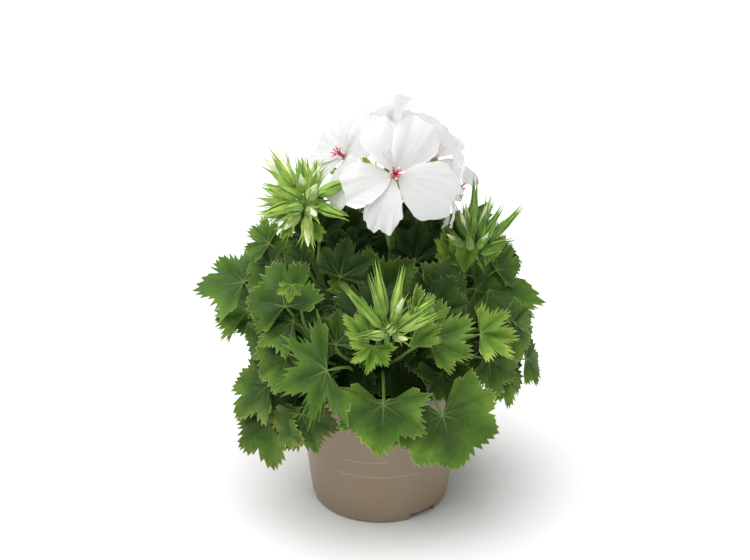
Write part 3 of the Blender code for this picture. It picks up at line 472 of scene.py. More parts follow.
def leafEdge(form, teeth, draw):
    # the toothed edge as (angle, share of the length, share of the length without its teeth)
    gaps = form["lobes"] - 1
    step = 2 * form["span"] / gaps
    notch = form["notch"] * draw.uniform(*leafShape["notchSizes"])
    sizes = [draw.uniform(*leafShape["lobeSizes"]) * leafShape["inset"] for _ in range(form["lobes"] + 1)]
    edge = []
    for k in range(gaps * len(teeth) + 1):
        lobe, (share, depth) = k // len(teeth), teeth[k % len(teeth)]
        if share > 0:
            share += draw.uniform(-1, 1) * leafShape["toothDrift"]
            depth *= draw.uniform(*leafShape["toothSizes"])
        angle = -form["span"] + (lobe + share) * step
        reach = 1 - (1 - form["side"]) * abs(angle / form["span"]) ** 1.6
        reach *= sizes[lobe] + (sizes[lobe + 1] - sizes[lobe]) * share
        hollow = math.sin(math.pi * share) ** 1.4
        edge.append((angle, reach * (1 - notch * depth), reach * (1 - notch * hollow)))
    base = form["span"] + 0.34 * step
    shoulder = form["side"] * 0.62
    side = [(base, shoulder, shoulder), (base - 0.14 * step, shoulder * 1.16, shoulder * 1.12)]
    side.append((base - 0.22 * step, shoulder * 1.10, shoulder * 1.18))
    mirrored = [(-a, r, s) for a, r, s in side]
    return mirrored + edge + side[::-1]


def leafBlade(bm, leaf, form, layers, tone, dry, draw):
    # a grid bent into a fan: its columns are directions from the root, its rows the way out to the teeth
    length = leaf["length"]
    evenly = leaf["form"] in leafShape["evenForms"]
    edge = leafEdge(form, leafShape["evenTeeth"] if evenly else leafShape["skewTeeth"], draw)
    step = 2 * form["span"] / (form["lobes"] - 1)
    columns, rows = len(edge) - 1, leafShape["rows"]
    ruffle, curl = draw.uniform(*leafShape["ruffle"]), draw.uniform(*leafShape["curl"])
    made = bmesh.ops.create_grid(bm, x_segments=columns, y_segments=rows, size=1.0)
    verts = made["verts"]
    veins, kind = layers
    onVein = {}
    for v in verts:
        column = round((v.co.x + 1) / 2 * columns)
        out = 1 - ((1 - v.co.y) / 2) ** 1.2
        angle, toothed, smooth = edge[column]
        sharp = out**5
        reach = out * (toothed * sharp + smooth * (1 - sharp))
        a = math.radians(angle + leafShape["warp"] * math.sin(math.radians(angle) * 2.2 + leaf["phase"]))
        lobe = (angle + form["span"]) / step
        off = abs(lobe - round(lobe)) * math.radians(step)
        toVein, along = math.sin(off) * reach, math.cos(off) * reach
        rise = leafRelief(form, leaf["phase"], angle, reach)
        rise += ruffle * reach**4 * math.sin(a * 8.0 + leaf["phase"] * 3) - curl * out**4
        rise -= leafShape["furrow"] * math.exp(-((toVein / 0.055) ** 2)) * min(1.0, reach * 3)
        v[kind] = (tone, out, dry, 1.0)
        onVein[v] = (toVein * length * 10, along * length * 10)
        v.co = Vector((reach * math.sin(a), reach * math.cos(a), rise)) * length
    for face in {face for v in verts for face in v.link_faces}:
        for loop in face.loops:
            loop[veins].uv = onVein[loop.vert]
    faces = list({face for v in verts for face in v.link_faces})
    grown = bmesh.ops.extrude_face_region(bm, geom=faces, use_keep_orig=True)["geom"]
    under = [g for g in grown if isinstance(g, bmesh.types.BMVert)]
    bmesh.ops.translate(bm, vec=(0, 0, -leafShape["thickness"]), verts=under)
    whole = verts + under
    turned = facingFrame(leaf["place"], *leaf["faces"], leaf["turn"])
    bmesh.ops.transform(bm, matrix=turned, verts=whole)
    faces = list({face for v in whole for face in v.link_faces})
    bmesh.ops.remove_doubles(bm, verts=whole, dist=1e-6)
    faces = [face for face in faces if face.is_valid]
    bmesh.ops.recalc_face_normals(bm, faces=faces)


def leafMaterial():
    # a living pelargonium leaf: the eye sees a deep soft green that yellows outwards and darkens towards the root
    # as painted shade, thin pale veins round the root, furrows further out, a pale line along the teeth that is
    # partly its own margin and partly a painted highlight, and a satin skin
    look, shader = newMaterial("living leaf blade")
    kind = addNode(look, "ShaderNodeAttribute", {"attribute_name": "leafKind"})
    parts = addNode(look, "ShaderNodeSeparateColor", {}, {"Color": kind.outputs["Color"]})
    tone, outward, dry = parts.outputs["Red"], parts.outputs["Green"], parts.outputs["Blue"]
    place = addNode(look, "ShaderNodeTexCoord").outputs["Object"]
    # one unit of this map is 100 mm: U is the way to the nearest main vein, V the way out along it
    veins = addNode(look, "ShaderNodeUVMap", {"uv_map": "leafVeins"})
    uv = addNode(look, "ShaderNodeSeparateXYZ", {}, {"Vector": veins})
    across, along = uv.outputs["X"], uv.outputs["Y"]

    # mottling about 5 mm across, slow drifts about 25 mm across, and fine cells about 1 mm across
    mottle = addNode(look, "ShaderNodeTexNoise", {}, {"Vector": place, "Scale": 200.0, "Detail": 3.0})
    drift = addNode(look, "ShaderNodeTexNoise", {}, {"Vector": place, "Scale": 40.0, "Detail": 1.0})
    cells = addNode(look, "ShaderNodeTexVoronoi", {}, {"Vector": place, "Scale": 900.0})

    # darker towards the root as painted shade, lighter and yellower out to the edge as the leaf's own colour
    rootShadeEdgeYellow = addNode(look, "ShaderNodeMapRange", {"interpolation_type": "SMOOTHSTEP"},
                     {"Value": outward, "From Min": 0.25, "To Min": -0.10, "To Max": 0.12})
    shade = addNode(look, "ShaderNodeMath", {"operation": "ADD"}, {0: tone, 1: rootShadeEdgeYellow})
    shade = addNode(look, "ShaderNodeMath", {"operation": "MULTIPLY_ADD"}, {0: mottle, 1: 0.26, 2: shade})
    shade = addNode(look, "ShaderNodeMath", {"operation": "MULTIPLY_ADD"}, {0: drift, 1: 0.44, 2: shade})
    shade = addNode(look, "ShaderNodeMath", {"operation": "SUBTRACT"}, {0: shade, 1: 0.35})
    greens = addNode(look, "ShaderNodeValToRGB", {}, {"Fac": shade})
    setStops(greens, ((0.0, "#1d3410"), (0.28, "#355118"), (0.48, "#4c6d20"), (0.66, "#6c8c2e"), (0.84, "#92ab3c"),
                      (1.0, "#b0c457")))

    # main veins taper from 0.9 mm to 0.3 mm and lose their pale colour on the way out
    width = addNode(look, "ShaderNodeMapRange", {}, {"Value": along, "From Max": 0.35, "To Min": 0.007, "To Max": 0.003})
    mainVein = addNode(look, "ShaderNodeMapRange", {}, {"Value": across, "From Max": width, "To Min": 1.0, "To Max": 0.0})
    pale = addNode(look, "ShaderNodeMapRange", {}, {"Value": along, "From Max": 0.16, "To Min": 0.34, "To Max": 0.0})
    paleVein = addNode(look, "ShaderNodeMath", {"operation": "MULTIPLY"}, {0: mainVein, 1: pale})
    # side veins leave them every 5 mm, leaning outwards
    lean = addNode(look, "ShaderNodeMath", {"operation": "MULTIPLY_ADD"}, {0: across, 1: -0.85, 2: along})
    ladder = addNode(look, "ShaderNodeMath", {"operation": "MULTIPLY"}, {0: lean, 1: 19.0})
    ladder = addNode(look, "ShaderNodeMath", {"operation": "PINGPONG"}, {0: ladder, 1: 0.5})
    sideVein = addNode(look, "ShaderNodeMapRange", {}, {"Value": ladder, "From Max": 0.09, "To Min": 1.0, "To Max": 0.0})
    faint = addNode(look, "ShaderNodeMath", {"operation": "MULTIPLY"}, {0: sideVein, 1: 0.05})
    vein = addNode(look, "ShaderNodeMath", {"operation": "MAXIMUM"}, {0: paleVein, 1: faint})
    veined = addNode(look, "ShaderNodeMix", {"data_type": "RGBA"}, {0: vein, 6: greens, 7: linear("#a9c46c")})

    # a pale line along the teeth, stronger on brighter leaves: partly the leaf's own pale margin, partly a painted
    # highlight where the edge catches the light
    rim = addNode(look, "ShaderNodeMapRange", {}, {"Value": outward, "From Min": 0.965, "From Max": 1.0})
    rim = addNode(look, "ShaderNodeMath", {"operation": "MULTIPLY"}, {0: rim, 1: shade})
    marginAndHighlight = addNode(look, "ShaderNodeMix", {"data_type": "RGBA"}, {0: rim, 6: veined, 7: linear("#c3cf82")})
    scorch = addNode(look, "ShaderNodeMapRange", {}, {"Value": outward, "From Min": 0.72, "To Max": 1.4})
    scorch = addNode(look, "ShaderNodeMath", {"operation": "MULTIPLY"}, {0: scorch, 1: dry})
    patchy = addNode(look, "ShaderNodeMapRange", {}, {"Value": mottle, "From Min": 0.42, "From Max": 0.62})
    scorch = addNode(look, "ShaderNodeMath", {"operation": "MULTIPLY", "use_clamp": True}, {0: scorch, 1: patchy})
    browned = addNode(look, "ShaderNodeMix", {"data_type": "RGBA"}, {0: scorch, 6: marginAndHighlight, 7: linear("#8d6a35")})

    furrows = addNode(look, "ShaderNodeMath", {"operation": "MAXIMUM"}, {0: mainVein, 1: sideVein})
    height = addNode(look, "ShaderNodeMath", {"operation": "MULTIPLY_ADD"}, {0: furrows, 1: -0.35, 2: mottle})
    height = addNode(look, "ShaderNodeMath", {"operation": "MULTIPLY_ADD"},
                     {0: cells.outputs["Distance"], 1: 0.22, 2: height})
    bump = addNode(look, "ShaderNodeBump", {}, {"Strength": 0.5, "Distance": 0.0009, "Height": height})
    satin = addNode(look, "ShaderNodeMapRange", {}, {"Value": mottle, "To Min": 0.42, "To Max": 0.62})
    feed(look, shader, {"Base Color": browned, "Normal": bump, "Roughness": satin, "IOR": 1.42,
                        "Specular IOR Level": 0.25})
    return look


def stalkMaterial():
    # a young green stalk with fine down: matt, a little paler where it catches the light
    look, shader = newMaterial("downy green stalk")
    place = addNode(look, "ShaderNodeTexCoord").outputs["Object"]
    streaks = addNode(look, "ShaderNodeMapping", {}, {"Vector": place, "Scale": (1.0, 1.0, 0.25)})
    grain = addNode(look, "ShaderNodeTexNoise", {}, {"Vector": streaks, "Scale": 1400.0, "Detail": 2.0})
    colour = addNode(look, "ShaderNodeMix", {"data_type": "RGBA"},
                     {0: grain, 6: linear("#456a24"), 7: linear("#7b9f45")})
    bump = addNode(look, "ShaderNodeBump", {}, {"Strength": 0.4, "Distance": 0.0003, "Height": grain})
    feed(look, shader, {"Base Color": colour, "Normal": bump, "Roughness": 0.62})
    return look


def leafyStem(name, leaves, materials):
    bm = bmesh.new()
    layers = (bm.loops.layers.uv.new("leafVeins"), bm.verts.layers.float_color.new("leafKind"))
    draw = random.Random(name)
    for leaf in leaves:
        spread = leafShape["toneSpread"]
        tone = leafShape["tones"][leaf["form"]] + draw.uniform(-spread, spread)
        # leaves near the plant's middle are darkened as painted shade
        innerShadeShare = max(0.0, 1.0 - leaf["place"].xy.length / 0.085)
        tone += leafShape["innerPaintedShade"] * innerShadeShare
        low = leaf["place"].z < leafShape["dryBelow"] and leaf["place"].x < -0.05
        dry = draw.uniform(0.2, 0.45) if low else 0.0
        leafBlade(bm, leaf, growth["forms"][leaf["form"]], layers, tone, dry, draw)
    bladeFaces = len(bm.faces)
    line = stemLine(name, 12)
    rise = growth["stemTop"] - growth["stemFoot"]
    radii = [growth["stemFoot"]] + [growth["stemFoot"] + rise * i / 12 for i in range(13)]
    sweep(bm, pathFrames(line, radii), 12)
    for leaf in leaves:
        points = petiolePath(leaf, 10)
        taper = growth["petioleTip"] - growth["petioleRoot"]
        radii = [growth["petioleRoot"] + taper * min(1.0, i / 7) for i in range(11)]
        radii[-1] *= 0.5
        sweep(bm, pathFrames(points, radii), 8)
    bm.faces.ensure_lookup_table()
    for face in bm.faces[bladeFaces:]:
        face.material_index = 1
    piece = finishPiece(name + "_leaves", bm, materials)
    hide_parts(name)


leaves = settledLeaves()
print("leaves found on the frame:", len(leaves), "of", len(plannedLeaves()))
leaves += shelteredLeaves()
leafGreen = leafMaterial()
stalkGreen = stalkMaterial()
for stem in growth["stems"]:
    leafyStem(stem, [leaf for leaf in leaves if leaf["stem"] == stem], [leafGreen, stalkGreen])
print("leafy stems made")


# Umbels of buds

umbels = {
    "knot": 0.0035,
    "peduncle": 0.0017,
    "pedicel": 0.0006,
    "gap": 0.0004,
    "tries": 40,
    "tilt": 0.02,
    # stem, hub, azimuth and elevation that it looks, spread, buds, stalk, bud length and radius
    "heads": {
        "bud_umbel_left": ("leafy_stem_left", (-0.048, -0.028, 0.232), -58, 34, 100, 22, 0.010, 0.031, 0.0036),
        "bud_umbel_front": ("leafy_stem_front", (0.005, -0.083, 0.166), 2, 58, 66, 14, 0.007, 0.034, 0.0026),
        "bud_umbel_right": ("leafy_stem_right", (0.060, -0.024, 0.194), 34, 66, 48, 18, 0.012, 0.033, 0.0024),
        "bud_umbel_back": ("leafy_stem_back", (0.000, 0.066, 0.204), 176, 44, 92, 11, 0.011, 0.026, 0.0034),
    },
    "sepals": 5,
    # share of the buds whose sepals part, how pale the umbel is, pairs of young spikes, their spread and length
    "looks": {
        "bud_umbel_left": (0.55, 0.44, 9, 96, 0.018),
        "bud_umbel_front": (0.10, 0.40, 9, 64, 0.018),
        "bud_umbel_right": (0.30, 0.26, 22, 74, 0.023),
        "bud_umbel_back": (0.40, 0.44, 8, 88, 0.018),
    },
    # small toothed leaves below each umbel: place from its hub, azimuth and elevation faced, turn, length
    "bracts": {
        "bud_umbel_front": (
            ((0.014, -0.006, -0.002), 30, 12, 152, 0.032),
            ((0.018, 0.000, 0.000), 44, 20, 166, 0.034),
            ((0.012, -0.010, -0.006), 20, 24, 118, 0.028),
            ((-0.010, -0.006, 0.000), -26, 16, -160, 0.026),
            ((-0.012, -0.004, -0.006), -30, 20, -120, 0.026),
        ),
        "bud_umbel_left": (
            ((-0.010, -0.008, -0.004), -40, 20, -70, 0.020),
            ((-0.006, -0.012, -0.006), -30, 24, -20, 0.018),
            ((0.004, -0.012, -0.008), 0, 24, 20, 0.018),
        ),
        "bud_umbel_right": (
            ((-0.014, -0.008, -0.006), -10, 16, -168, 0.030),
            ((-0.006, -0.014, -0.008), 8, 20, 172, 0.028),
            ((-0.010, -0.012, -0.004), -6, 24, -140, 0.024),
            ((0.008, -0.012, -0.004), 36, 20, 150, 0.028),
            ((0.014, -0.006, -0.004), 52, 20, 160, 0.028),
        ),
    },
    "bractForm": dict(lobes=3, span=26, notch=0.26, side=0.74, cup=0.10, fold=0.42, pleat=0.02, droop=-0.06),
}


def capDirections(azimuth, elevation, spread, count):
    turned = heading(azimuth, elevation).to_track_quat("Z", "Y").to_matrix()
    found = []
    for k in range(count):
        tilt = math.radians(spread) * math.sqrt((k + 0.5) / count)
        turn = k * math.radians(137.5)
        local = Vector((math.sin(tilt) * math.cos(turn), math.sin(tilt) * math.sin(turn), math.cos(tilt)))
        found.append(turned @ local)
    return found


def budPoints(hub, way, stalk, length, radius, sag):
    base = hub + way * (umbels["knot"] + stalk)
    side = (way + Vector((0, 0, sag))).normalized()
    tipWay = (side + Vector((0, 0, sag * 0.5))).normalized()
    return hub + way * umbels["knot"] * 0.7, base, base + side * length * 0.36, base + tipWay * length


def settledBuds(name):
    # the tilt that each solid bud took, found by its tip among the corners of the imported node
    stem, hub, azimuth, elevation, spread, count, stalk, length, radius = umbels["heads"][name]
    hub = Vector(hub)
    draw = random.Random(name)
    corners = nodeCorners(name)
    found = []
    for way in capDirections(azimuth, elevation, spread, count):
        size = draw.uniform(0.66, 1.14)
        sag = draw.uniform(-0.05, 0.25)
        for step in range(umbels["tries"]):
            nudge = Vector((draw.uniform(-1, 1), draw.uniform(-1, 1), draw.uniform(-1, 1)))
            tried = (way + nudge * step * umbels["tilt"]).normalized()
            shape = (hub, tried, stalk * size, length * size, radius * (0.5 + 0.5 * size), sag)
            if marksFound(corners, budPoints(*shape)[3:]):
                found.append(shape)
                break
    return found


def peduncleLine(stem, hub, steps):
    line = stemLine(stem, 4)
    lean = (line[-1] - line[-2]).normalized()
    start = line[-1] + lean * umbels["gap"]
    span = (hub - start).length
    return curveThrough(start, lean * span * 0.4, hub, (hub - start).normalized() * span * 0.3, steps)


def tinted(verts, tint, pale, sides):
    # how pale a sweep is, and how far along it each corner lies
    rings = len(verts) // sides
    for k, v in enumerate(verts):
        v[tint] = (pale, (k // sides) / (rings - 1), 0.0, 1.0)


def addSepal(bm, base, along, out, length, bulges, width, tint, pale):
    # a narrow pointed blade: its broad side faces out from the bud
    shape = ((0.0, 0.60), (0.10, 0.84), (0.26, 1.0), (0.44, 0.82), (0.64, 0.48), (0.84, 0.20), (1.0, 0.03))
    points = [base + along * length * t + out * bulge for (t, _), bulge in zip(shape, bulges)]
    frames = []
    for i, (point, (_, size)) in enumerate(zip(points, shape)):
        z = (points[min(i + 1, len(points) - 1)] - points[max(i - 1, 0)]).normalized()
        y = (out - z * out.dot(z)).normalized()
        turn = Matrix((y.cross(z), y, z)).transposed().to_4x4()
        scale = Matrix.Diagonal((width * size, width * size * 0.30 + 0.00004, 1, 1))
        frames.append(Matrix.Translation(point) @ turn @ scale)
    tinted(sweep(bm, frames, 6), tint, pale, 6)


def addBud(bm, shape, opening, pale, tint, draw):
    # a bud: its slim stalk, a spindle of petals inside, and long pointed sepals, shut or parting
    hub, way, stalk, length, radius, sag = shape
    root, base, belly, tip = budPoints(*shape)
    widths = [umbels["pedicel"] * s for s in (1, 1, 1.6)]
    tinted(sweep(bm, pathFrames([root, base, base.lerp(belly, 0.3)], widths), 6), tint, pale * 0.6, 6)
    along = (tip - base).normalized()
    parting = draw.random() < opening
    fat = 0.92 if parting else 0.70
    body = [base.lerp(tip, t) for t in (0.0, 0.10, 0.26, 0.44, 0.62, 0.78)]
    widths = [radius * fat * s for s in (0.40, 0.80, 1.0, 0.86, 0.52, 0.12)]
    before = len(bm.faces)
    tinted(sweep(bm, pathFrames(body, widths), 8), tint, pale, 8)
    if parting:
        bm.faces.ensure_lookup_table()
        for face in bm.faces[before:]:
            face.material_index = 1
    side = along.orthogonal().normalized()
    for k in range(umbels["sepals"]):
        turn = 2 * math.pi * (k + draw.uniform(-0.12, 0.12)) / umbels["sepals"]
        out = Matrix.Rotation(turn, 3, along) @ side
        if parting:
            spread = draw.uniform(1.0, 2.2)
            reach = draw.uniform(0.66, 0.90)
        else:
            spread = draw.uniform(0.05, 0.45)
            reach = draw.uniform(0.88, 0.99)
        bulges = [radius * b for b in (0.40, 0.78, 0.98, 0.92)]
        bulges += [radius * (0.72 + (spread - 0.3) * s) for s in (0.30, 0.66, 1.0)]
        addSepal(bm, base, along, out, length * reach, bulges, radius * 0.70, tint, pale + draw.uniform(-0.12, 0.12))


def addSpikes(bm, name, tint, pale, draw):
    # the youngest buds: slim green spikes between the others
    hub, azimuth, elevation = umbels["heads"][name][1:4]
    hub = Vector(hub)
    count, spread, longest = umbels["looks"][name][2:]
    shut = [0.0] * 7
    for way in capDirections(azimuth + 23, elevation, spread, count):
        way = (way + Vector([draw.uniform(-0.12, 0.12) for _ in range(3)])).normalized()
        start = hub + way * umbels["knot"] * 0.7
        out = way.orthogonal().normalized()
        for k in range(2):
            leaning = (way + out * draw.uniform(-0.10, 0.10)).normalized()
            length = longest * draw.uniform(0.5, 1.1)
            addSepal(bm, start, leaning, out, length, shut, draw.uniform(0.0012, 0.0019), tint, pale * 0.9)
            out = leaning.cross(out).normalized()


def budUmbel(name, materials):
    stem, hub = umbels["heads"][name][0], Vector(umbels["heads"][name][1])
    bm = bmesh.new()
    tint = bm.verts.layers.float_color.new("budTint")
    layers = (bm.loops.layers.uv.new("leafVeins"), bm.verts.layers.float_color.new("leafKind"))
    draw = random.Random(name + " sepals")
    buds = settledBuds(name)
    opening, pale = umbels["looks"][name][:2]
    tinted(sweep(bm, pathFrames(peduncleLine(stem, hub, 8), [umbels["peduncle"]] * 9), 10), tint, 0.1, 10)
    bmesh.ops.create_icosphere(bm, subdivisions=2, radius=umbels["knot"] * 0.9, matrix=Matrix.Translation(hub))
    for shape in buds:
        addBud(bm, shape, opening, pale, tint, draw)
    addSpikes(bm, name, tint, pale, draw)
    before = len(bm.faces)
    for offset, azimuth, elevation, turn, length in umbels["bracts"].get(name, ()):
        bract = dict(place=hub + Vector(offset), faces=(azimuth, elevation), turn=turn, length=length)
        leafBlade(bm, bract | dict(form="bract", phase=azimuth), umbels["bractForm"], layers,
                  leafShape["tones"]["bract"], 0.0, draw)
    bm.faces.ensure_lookup_table()
    for face in bm.faces[before:]:
        face.material_index = 2
    piece = finishPiece(name + "_buds", bm, materials)
    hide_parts(name)
    print(name, "has", len(buds), "buds")


def budMaterials():
    # young sepals: fresh green, yellower where they are pale, darker at their tips, covered with fine hairs that
    # give a soft matt sheen
    sepal, shader = newMaterial("downy young sepal")
    place = addNode(sepal, "ShaderNodeTexCoord").outputs["Object"]
    kind = addNode(sepal, "ShaderNodeAttribute", {"attribute_name": "budTint"})
    parts = addNode(sepal, "ShaderNodeSeparateColor", {}, {"Color": kind.outputs["Color"]})
    patches = addNode(sepal, "ShaderNodeTexNoise", {}, {"Vector": place, "Scale": 130.0, "Detail": 2.0})
    down = addNode(sepal, "ShaderNodeTexNoise", {}, {"Vector": place, "Scale": 2600.0, "Detail": 1.0})
    shade = addNode(sepal, "ShaderNodeMath", {"operation": "MULTIPLY_ADD"}, {0: patches, 1: 0.55, 2: parts.outputs["Red"]})
    shade = addNode(sepal, "ShaderNodeMath", {"operation": "MULTIPLY_ADD"},
                    {0: parts.outputs["Green"], 1: -0.12, 2: shade})
    ramp = addNode(sepal, "ShaderNodeValToRGB", {}, {"Fac": shade})
    setStops(ramp, ((0.0, "#38601a"), (0.30, "#568325"), (0.52, "#7ba535"), (0.74, "#aeca58"), (1.0, "#dce49c")))
    bump = addNode(sepal, "ShaderNodeBump", {}, {"Strength": 0.5, "Distance": 0.0003, "Height": down})
    feed(sepal, shader, {"Base Color": ramp, "Normal": bump, "Roughness": 0.55, "Sheen Weight": 0.2})

    # rolled petals that show where the sepals part: cream with greenish streaks, satin
    cream, shader = newMaterial("rolled cream petal")
    place = addNode(cream, "ShaderNodeTexCoord").outputs["Object"]
    streaks = addNode(cream, "ShaderNodeTexNoise", {}, {"Vector": place, "Scale": 500.0, "Detail": 2.0})
    ramp = addNode(cream, "ShaderNodeValToRGB", {}, {"Fac": streaks})
    setStops(ramp, ((0.30, "#c3d67e"), (0.62, "#f1f2d6")))
    bump = addNode(cream, "ShaderNodeBump", {}, {"Strength": 0.3, "Distance": 0.0003, "Height": streaks})
    feed(cream, shader, {"Base Color": ramp, "Normal": bump, "Roughness": 0.5})
    return sepal, cream


sepalGreen, petalCream = budMaterials()
for name in umbels["heads"]:
    budUmbel(name, [sepalGreen, petalCream, leafGreen])


# Blooms

blooms = {
    "stem": "leafy_stem_middle",
    "hub": (0.010, -0.006, 0.222),
    # middle, azimuth and elevation that each faces, its turn and petal length
    "heads": {
        "bloom_front": ((0.009, -0.050, 0.258), 2, 28, 0, 0.038),
        "bloom_left": ((-0.023, -0.018, 0.259), -60, 34, -10, 0.036),
        "bloom_right": ((0.036, 0.003, 0.250), 136, 26, 16, 0.037),
        "bloom_back": ((0.006, 0.030, 0.256), 190, 40, 0, 0.034),
        "bloom_low_right": ((0.044, -0.026, 0.240), 96, -8, 30, 0.028),
    },
    "turns": (30.0, 114.0, 197.0, 254.0, 338.0),
    "sizes": (1.02, 1.06, 1.0, 0.90, 0.96),
    "spans": (36.0, 44.0, 29.0, 38.0, 33.0),
    "roll": 9.0,
    "lifts": (0, 8, -8, 16, -16, 24, 32, 40, 48, 56, 64, 72),
    "claw": 0.0012,
    "disc": 0.0024,
    "solidThickness": 0.00075,
    "thickness": 0.00040,
    "inset": 0.985,
    "swell": 0.45,  # how far each petal widens between its claw and its edge
    "ragged": (0.7, 0.8, 2.4, 1.3, 0.9),
    "streaked": (0.25, 0.0, 0.0, 0.0, 1.0),
    "stamens": 9,
}


def bloomFrame(name):
    middle, azimuth, elevation, turn, _ = blooms["heads"][name]
    return facingFrame(Vector(middle), azimuth, elevation, turn)


def petalFrame(name, number, lift):
    turned = bloomFrame(name) @ Matrix.Rotation(math.radians(180 - blooms["turns"][number]), 4, "Z")
    turned = turned @ Matrix.Translation((0, blooms["claw"], 0))
    turned = turned @ Matrix.Rotation(math.radians(blooms["roll"]), 4, "Y")
    return turned @ Matrix.Rotation(math.radians(lift), 4, "X")


def petalEdge(share):
    return 1 - 0.34 * abs(share) ** 3.2 - 0.03 * math.cos(3 * math.pi * share)


def petalRelief(phase, share, reach):
    rise = 0.42 * reach - 0.36 * reach**2 + 0.05 * reach**2 * share**2
    return rise + 0.04 * reach**3 * math.sin(5.2 * share + phase)


def petalMarks(name, number, lift):
    length = blooms["heads"][name][4] * blooms["sizes"][number]
    turned = petalFrame(name, number, lift)
    marks = []
    for k in range(9):
        share = k / 4 - 1
        reach = petalEdge(share)
        a = math.radians(blooms["spans"][number] * share)
        rise = length * petalRelief(number * 1.7, share, reach) + blooms["solidThickness"] / 2
        marks.append(turned @ Vector((length * reach * math.sin(a), length * reach * math.cos(a), rise)))
    return marks


def addPetal(bm, name, number, lift, layers, draw):
    # a grid bent into a wedge that swells beyond its claw, with folds that fan out and a frilled edge
    length = blooms["heads"][name][4] * blooms["sizes"][number]
    span = blooms["spans"][number]
    columns, rows = 30, 20
    made = bmesh.ops.create_grid(bm, x_segments=columns, y_segments=rows, size=1.0)
    verts = made["verts"]
    plane, kind = layers
    phase = draw.uniform(0, 6)
    ragged = blooms["ragged"][number]
    streaked = blooms["streaked"][number]
    flat = {}
    for v in verts:
        share, out = v.co.x, (v.co.y + 1) / 2
        flat[v] = (share, out)
        frill = 0.010 * math.cos(11 * share + phase) + 0.007 * math.cos(23 * share + phase * 2)
        reach = out * (petalEdge(share) * blooms["inset"] + (frill * ragged - 0.014 * ragged) * out**3)
        a = math.radians(span * share * (1 + blooms["swell"] * (1 - out) * math.sin(math.pi * out)))
        rise = petalRelief(number * 1.7, share, reach)
        rise += reach**2 * 0.022 * math.sin(6.5 * share + phase + 2.2 * reach)
        rise += reach**3 * 0.012 * ragged * math.sin(15 * share + phase * 1.7)
        rise += reach * 0.005 * math.cos(26 * share + phase)
        v[kind] = (streaked, number / 5, out, 1.0)
        v.co = Vector((reach * math.sin(a), reach * math.cos(a), rise)) * length
    faces = list({face for v in verts for face in v.link_faces})
    for face in faces:
        for loop in face.loops:
            share, out = flat[loop.vert]
            loop[plane].uv = (0.5 + share / 2, out)
    grown = bmesh.ops.extrude_face_region(bm, geom=faces, use_keep_orig=True)["geom"]
    under = [g for g in grown if isinstance(g, bmesh.types.BMVert)]
    bmesh.ops.translate(bm, vec=(0, 0, -blooms["thickness"]), verts=under)
    whole = verts + under
    bmesh.ops.transform(bm, matrix=petalFrame(name, number, lift), verts=whole)
    faces = list({face for v in whole for face in v.link_faces})
    bmesh.ops.remove_doubles(bm, verts=whole, dist=1e-6)
    bmesh.ops.recalc_face_normals(bm, faces=[face for face in faces if face.is_valid])


def petals(name, materials):
    bm = bmesh.new()
    layers = (bm.loops.layers.uv.new("petalPlane"), bm.verts.layers.float_color.new("petalKind"))
    corners = nodeCorners(name + "_petals")
    draw = random.Random(name + " frills")
    count = 0
    for number in range(len(blooms["turns"])):
        for lift in blooms["lifts"]:
            if marksFound(corners, petalMarks(name, number, lift)) >= 3:
                addPetal(bm, name, number, lift, layers, draw)
                count += 1
                break
    turned = bloomFrame(name)
    disc = [turned @ Vector((0, 0, z)) for z in (-0.0012, 0.0, 0.0012)]
    sweep(bm, pathFrames(disc, [blooms["disc"] * s for s in (0.8, 1.0, 0.7)]), 12)
    piece = finishPiece(name + "_petal_ring", bm, materials)
    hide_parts(name + "_petals")
    print(name, "has", count, "petals")


def stamens(name, materials):
    # curved red filaments with pale anthers that stand out of the throat
    bm = bmesh.new()
    turned = bloomFrame(name)
    draw = random.Random(name + " stamens")
    base = [turned @ Vector((0, 0, z)) for z in (0.0012, 0.0032)]
    sweep(bm, pathFrames(base, [0.0014, 0.0010]), 8)
    for k in range(blooms["stamens"]):
        a = 2 * math.pi * k / blooms["stamens"] + draw.uniform(-0.3, 0.3)
        out = Vector((math.cos(a), math.sin(a), 0))
        reach = draw.uniform(0.0030, 0.0060)
        tall = draw.uniform(0.0066, 0.0104)
        line = curveThrough(out * 0.0005 + Vector((0, 0, 0.0020)), Vector((0, 0, 0.004)),
                            out * reach + Vector((0, 0, tall)), out * 0.002, 5)
        line = [turned @ p for p in line]
        sweep(bm, pathFrames(line, [0.00050, 0.00048, 0.00046, 0.00044, 0.00042, 0.00036]), 6)
        if k % 2:
            continue
        made = bmesh.ops.create_icosphere(bm, subdivisions=1, radius=1.0)["verts"]
        size = Matrix.Diagonal((0.0007, 0.0007, 0.0012, 1))
        tilt = Matrix.Rotation(draw.uniform(0, 3), 4, "X") @ Matrix.Rotation(draw.uniform(0, 3), 4, "Y")
        bmesh.ops.transform(bm, matrix=Matrix.Translation(line[-1]) @ tilt @ size, verts=made)
        for face in {face for v in made for face in v.link_faces}:
            face.material_index = 1
    piece = finishPiece(name + "_stamen_tuft", bm, materials)
    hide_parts(name + "_stamens")


